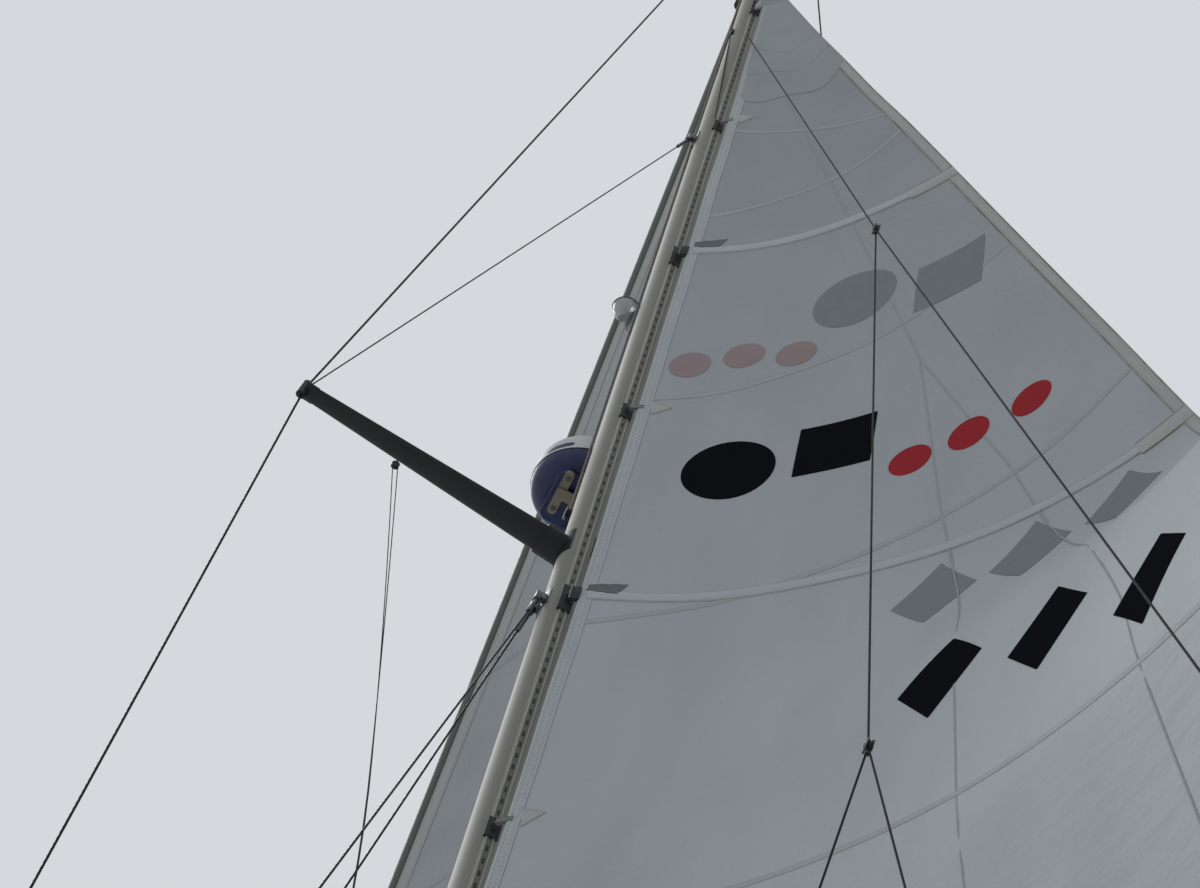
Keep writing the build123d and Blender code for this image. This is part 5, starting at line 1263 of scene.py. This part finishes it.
class YACHTRIG_OT_running_rigging(bpy.types.Operator):
    """Makes the main halyard, the lines beside the mast, the flag halyards, the outhaul and the cleats"""
    bl_idname = "yacht_rig.running_rigging"
    bl_label = "Running Rigging"

    def execute(self, context):
        thick = sizes().halyard_radius
        path = [(-0.098, 0.011, 13.333), (-0.104, 0.008, 12.9), (-0.138, -0.014, 11.715)]
        halyard = line("main_halyard", path, thick)
        halyard.data.materials.clear()
        halyard.data.materials.append(MATERIALS["halyard"])
        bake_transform(halyard)
        bow = [(-0.138, -0.014 + y, 11.655 + z)
               for y, z in ((-0.011, 0), (-0.012, 0.035), (0, 0.062), (0.012, 0.035), (0.011, 0))]
        pin = [(-0.138, -0.014 + y, 11.655) for y in (-0.016, 0.016)]
        parts = [line("head_shackle", bow, 0.003, True), line("shackle_pin", pin, 0.003)]
        finished(joined("head_shackle", parts), "steel", "boom")

        rope("mast_side_rope", [(0.045, 0.060, 13.15), (0.045, 0.0605, 7.78)], thick, "fleck", "rig")
        places = [aim((0.045, 0.066, z), (0, 1, 0), (1, 0, 0)) for z in (13.15, 7.76)]
        finished(repeated(pulley("mast_side_blocks", 0.024), places), "plastic", "rig")
        rope("topping_rope", [(-0.03, 0.063, 11.35), (-0.105, 0.024, 10.44)], 0.003, "rope", "rig")
        eye = placed(block("rope_eye", (0.020, 0.012, 0.034), 0.003), shift(-0.03, 0.060, 11.36))
        finished(eye, "plastic", "rig")

        for number, gap in enumerate((0.0, 0.018), 1):
            points = [(-0.066, 0.677 - gap, 7.47), (-0.30, 0.50, 6.4), (-0.43 + gap, 0.30, 5.2),
                      (-0.30, 0.15, 3.2), (-0.08, 0.095, 1.3), (-0.03 + gap / 4, 0.080, 0.93)]
            rope(f"flag_halyard_{number}", points, sizes().flag_radius, "rope", "rig", True)
        small = placed(pulley("flag_halyard_block", 0.014), aim((-0.066, 0.668, 7.472), (1, 0, 0), (0, 1, 0)))
        finished(small, "plastic", "rig")
        for label, y, height, turn in (("port", 0.0605, 0.90, 0), ("starboard", -0.0605, 0.98, math.pi)):
            finished(horn_cleat(f"cleat_{label}", shift(-0.030, y, height) @ spin(turn, "Z")), "casting", "rig")
        rope("outhaul", [boom_point(4.0, 0, 0.055), boom_point(4.20, 0, 0.048)], 0.004, "halyard", "boom")
        return {"FINISHED"}


def radome_wall(azimuth, z):
    """Point and outward normal on the white half's upright wall, which leans in by 2 degrees."""
    radius = RADOME_RADIUS - (z - RADOME_JOINT_Z) * math.tan(math.radians(2))
    normal = np.stack([np.cos(azimuth), np.sin(azimuth), np.zeros_like(azimuth)], -1)
    return (RADOME_X, 0, 0) + normal * radius[..., None] + z[..., None] * np.array([0, 0, 1]), normal


class YACHTRIG_OT_fittings(bpy.types.Operator):
    """Makes the nuts, bolts, gaskets, winch tops, furling line and other small fittings"""
    bl_idname = "yacht_rig.fittings"
    bl_label = "Fittings"

    def execute(self, context):
        nuts, rings = [], []
        for foot, head in STAYS:
            foot, up = Vector(foot), (Vector(head) - Vector(foot)).normalized()
            across = Vector((0, 1, 0)).cross(up).normalized()
            nuts += [aim(foot + up * 0.067, up), aim(foot + up * 0.2665, up)]
            rings += [aim(foot + across * side * 0.0215 - up * 0.004, across) for side in (1, -1)]
        finished(repeated(hex_nut("lock_nuts", 0.0125, 0.008), nuts), "steel", "rig")
        finished(repeated(torus("pin_rings", 0.008, 0.001, 16, 6), rings), "steel", "rig")

        places = [aim((x, side * 0.0275, z), (0, side, 0)) for x, z in MASTHEAD_PINS for side in (1, -1)]
        finished(repeated(hex_nut("masthead_nuts", 0.0125, 0.006), places), "steel", "rig")
        washer = turned("heel_washers", ((0.013, 0), (0.013, 0.0014), (0.0125, 0.0016)), 24)
        bolt = placed(hex_nut("heel_bolts", 0.0105, 0.008), shift(0, 0, 0.0014))
        places = [shift(x, y, 0.0140) for x in (0.105, -0.105) for y in (0.075, -0.075)]
        finished(repeated(joined("heel_bolts", [bolt, washer]), places), "steel", "rig")

        for side, label in ((PORT, "port"), (STARBOARD, "starboard")):
            top = turned(f"winch_top_{label}", ((0.0440, 0), (0.0440, 0.003), (0.0400, 0.006), (0.0150, 0.0075),
                                                (0.0130, 0.0065), (0.0120, 0.0015)), 32)
            placed(top, aim((0, side * WINCH_FACE_Y, WINCH_Z), (0, side, 0)))
            finished(top, "chrome", f"winch_{label}")

        finished(torus("radome_gasket", RADOME_RADIUS - 0.0005, 0.0028, 96, 8, (RADOME_X, 0, RADOME_JOINT_Z)),
                 "rubber", "rig")
        under = spin(math.pi, "X")
        places = [shift(0.264 + x, y, 8.133) @ under for x in (-0.074, 0.074) for y in (-0.083, 0.083)]
        finished(repeated(hex_nut("radome_bolts", 0.0095, 0.007), places), "steel", "rig")
        gland = turned("radome_gland", ((0.013, 0), (0.013, 0.008), (0.010, 0.009), (0.010, 0.020),
                                        (0.0065, 0.026)), 16)
        finished(placed(gland, shift(0.397, 0, 8.145) @ under), "plastic", "rig")
        rope("radome_cable", [(0.397, 0, 8.125), (0.397, 0.002, 8.03), (0.34, 0.014, 7.955), (0.20, 0.016, 7.93),
                              (0.12, 0.008, 7.95), (0.083, 0.004, 7.94)], 0.004, "rubber", "rig", True)
        # bar with rounded ends where the shell carries lettering
        round_end = np.clip(1 - column(-1, 1, 40) ** 8, 0.02, 1) ** 0.5
        height = 8.259 + 0.011 * round_end * row(-1, 1, 5)
        finished(cloth_band("radome_band", np.radians(column(112, 146, 40)), height, 0.0012, radome_wall,
                            (1.0, 0.2)), "navy", "rig")
        finished(torus("lamp_gasket", 0.0532, 0.0026, 64, 8, LAMP_CENTRE), "rubber", "rig")

        # two layers of turns on the drum, changing every two turns
        _, along, back = jib_line()
        turns, steps = 13, 16
        coil = []
        for k in range(turns * steps + 1):
            angle = k * math.tau / steps
            out = 0.0445 + 0.0075 * (k % (4 * steps) >= 2 * steps)
            coil.append(FORESTAY_FOOT + along * (0.176 + 0.108 * k / (turns * steps))
                        + (back * math.cos(angle) + Vector((0, 1, 0)) * math.sin(angle)) * out)
        rope("furling_line", coil, 0.004, "halyard", "rig")
        return {"FINISHED"}


class YACHTRIG_PT_panel(bpy.types.Panel):
    """Lists the makers, sizes and colours of the rig"""
    bl_idname = "YACHTRIG_PT_panel"
    bl_label = "Yacht Rig"
    bl_space_type = "VIEW_3D"
    bl_region_type = "UI"
    bl_category = "Yacht Rig"

    def draw(self, context):
        for step in STEPS:
            self.layout.operator(f"yacht_rig.{step}")
        for group in (context.scene.yacht_rig_sizes, context.scene.yacht_rig_colours):
            for name in group.__annotations__:
                self.layout.prop(group, name)


CLASSES = (RigColours, RigSizes, YACHTRIG_OT_stage, YACHTRIG_OT_finishes, YACHTRIG_OT_mainsail,
           YACHTRIG_OT_headsail, YACHTRIG_OT_luff_gear, YACHTRIG_OT_lazy_jacks, YACHTRIG_OT_running_rigging,
           YACHTRIG_OT_fittings, YACHTRIG_PT_panel)
STEPS = ("finishes", "stage", "mainsail", "headsail", "luff_gear", "lazy_jacks", "running_rigging", "fittings")


def register():
    for cls in CLASSES:
        bpy.utils.register_class(cls)
    bpy.types.Scene.yacht_rig_colours = bpy.props.PointerProperty(type=RigColours)
    bpy.types.Scene.yacht_rig_sizes = bpy.props.PointerProperty(type=RigSizes)


def unregister():
    del bpy.types.Scene.yacht_rig_colours
    del bpy.types.Scene.yacht_rig_sizes
    for cls in reversed(CLASSES):
        bpy.utils.unregister_class(cls)


def main():
    register()
    for step in STEPS:
        getattr(bpy.ops.yacht_rig, step)()


if __name__ == "__main__":
    main()
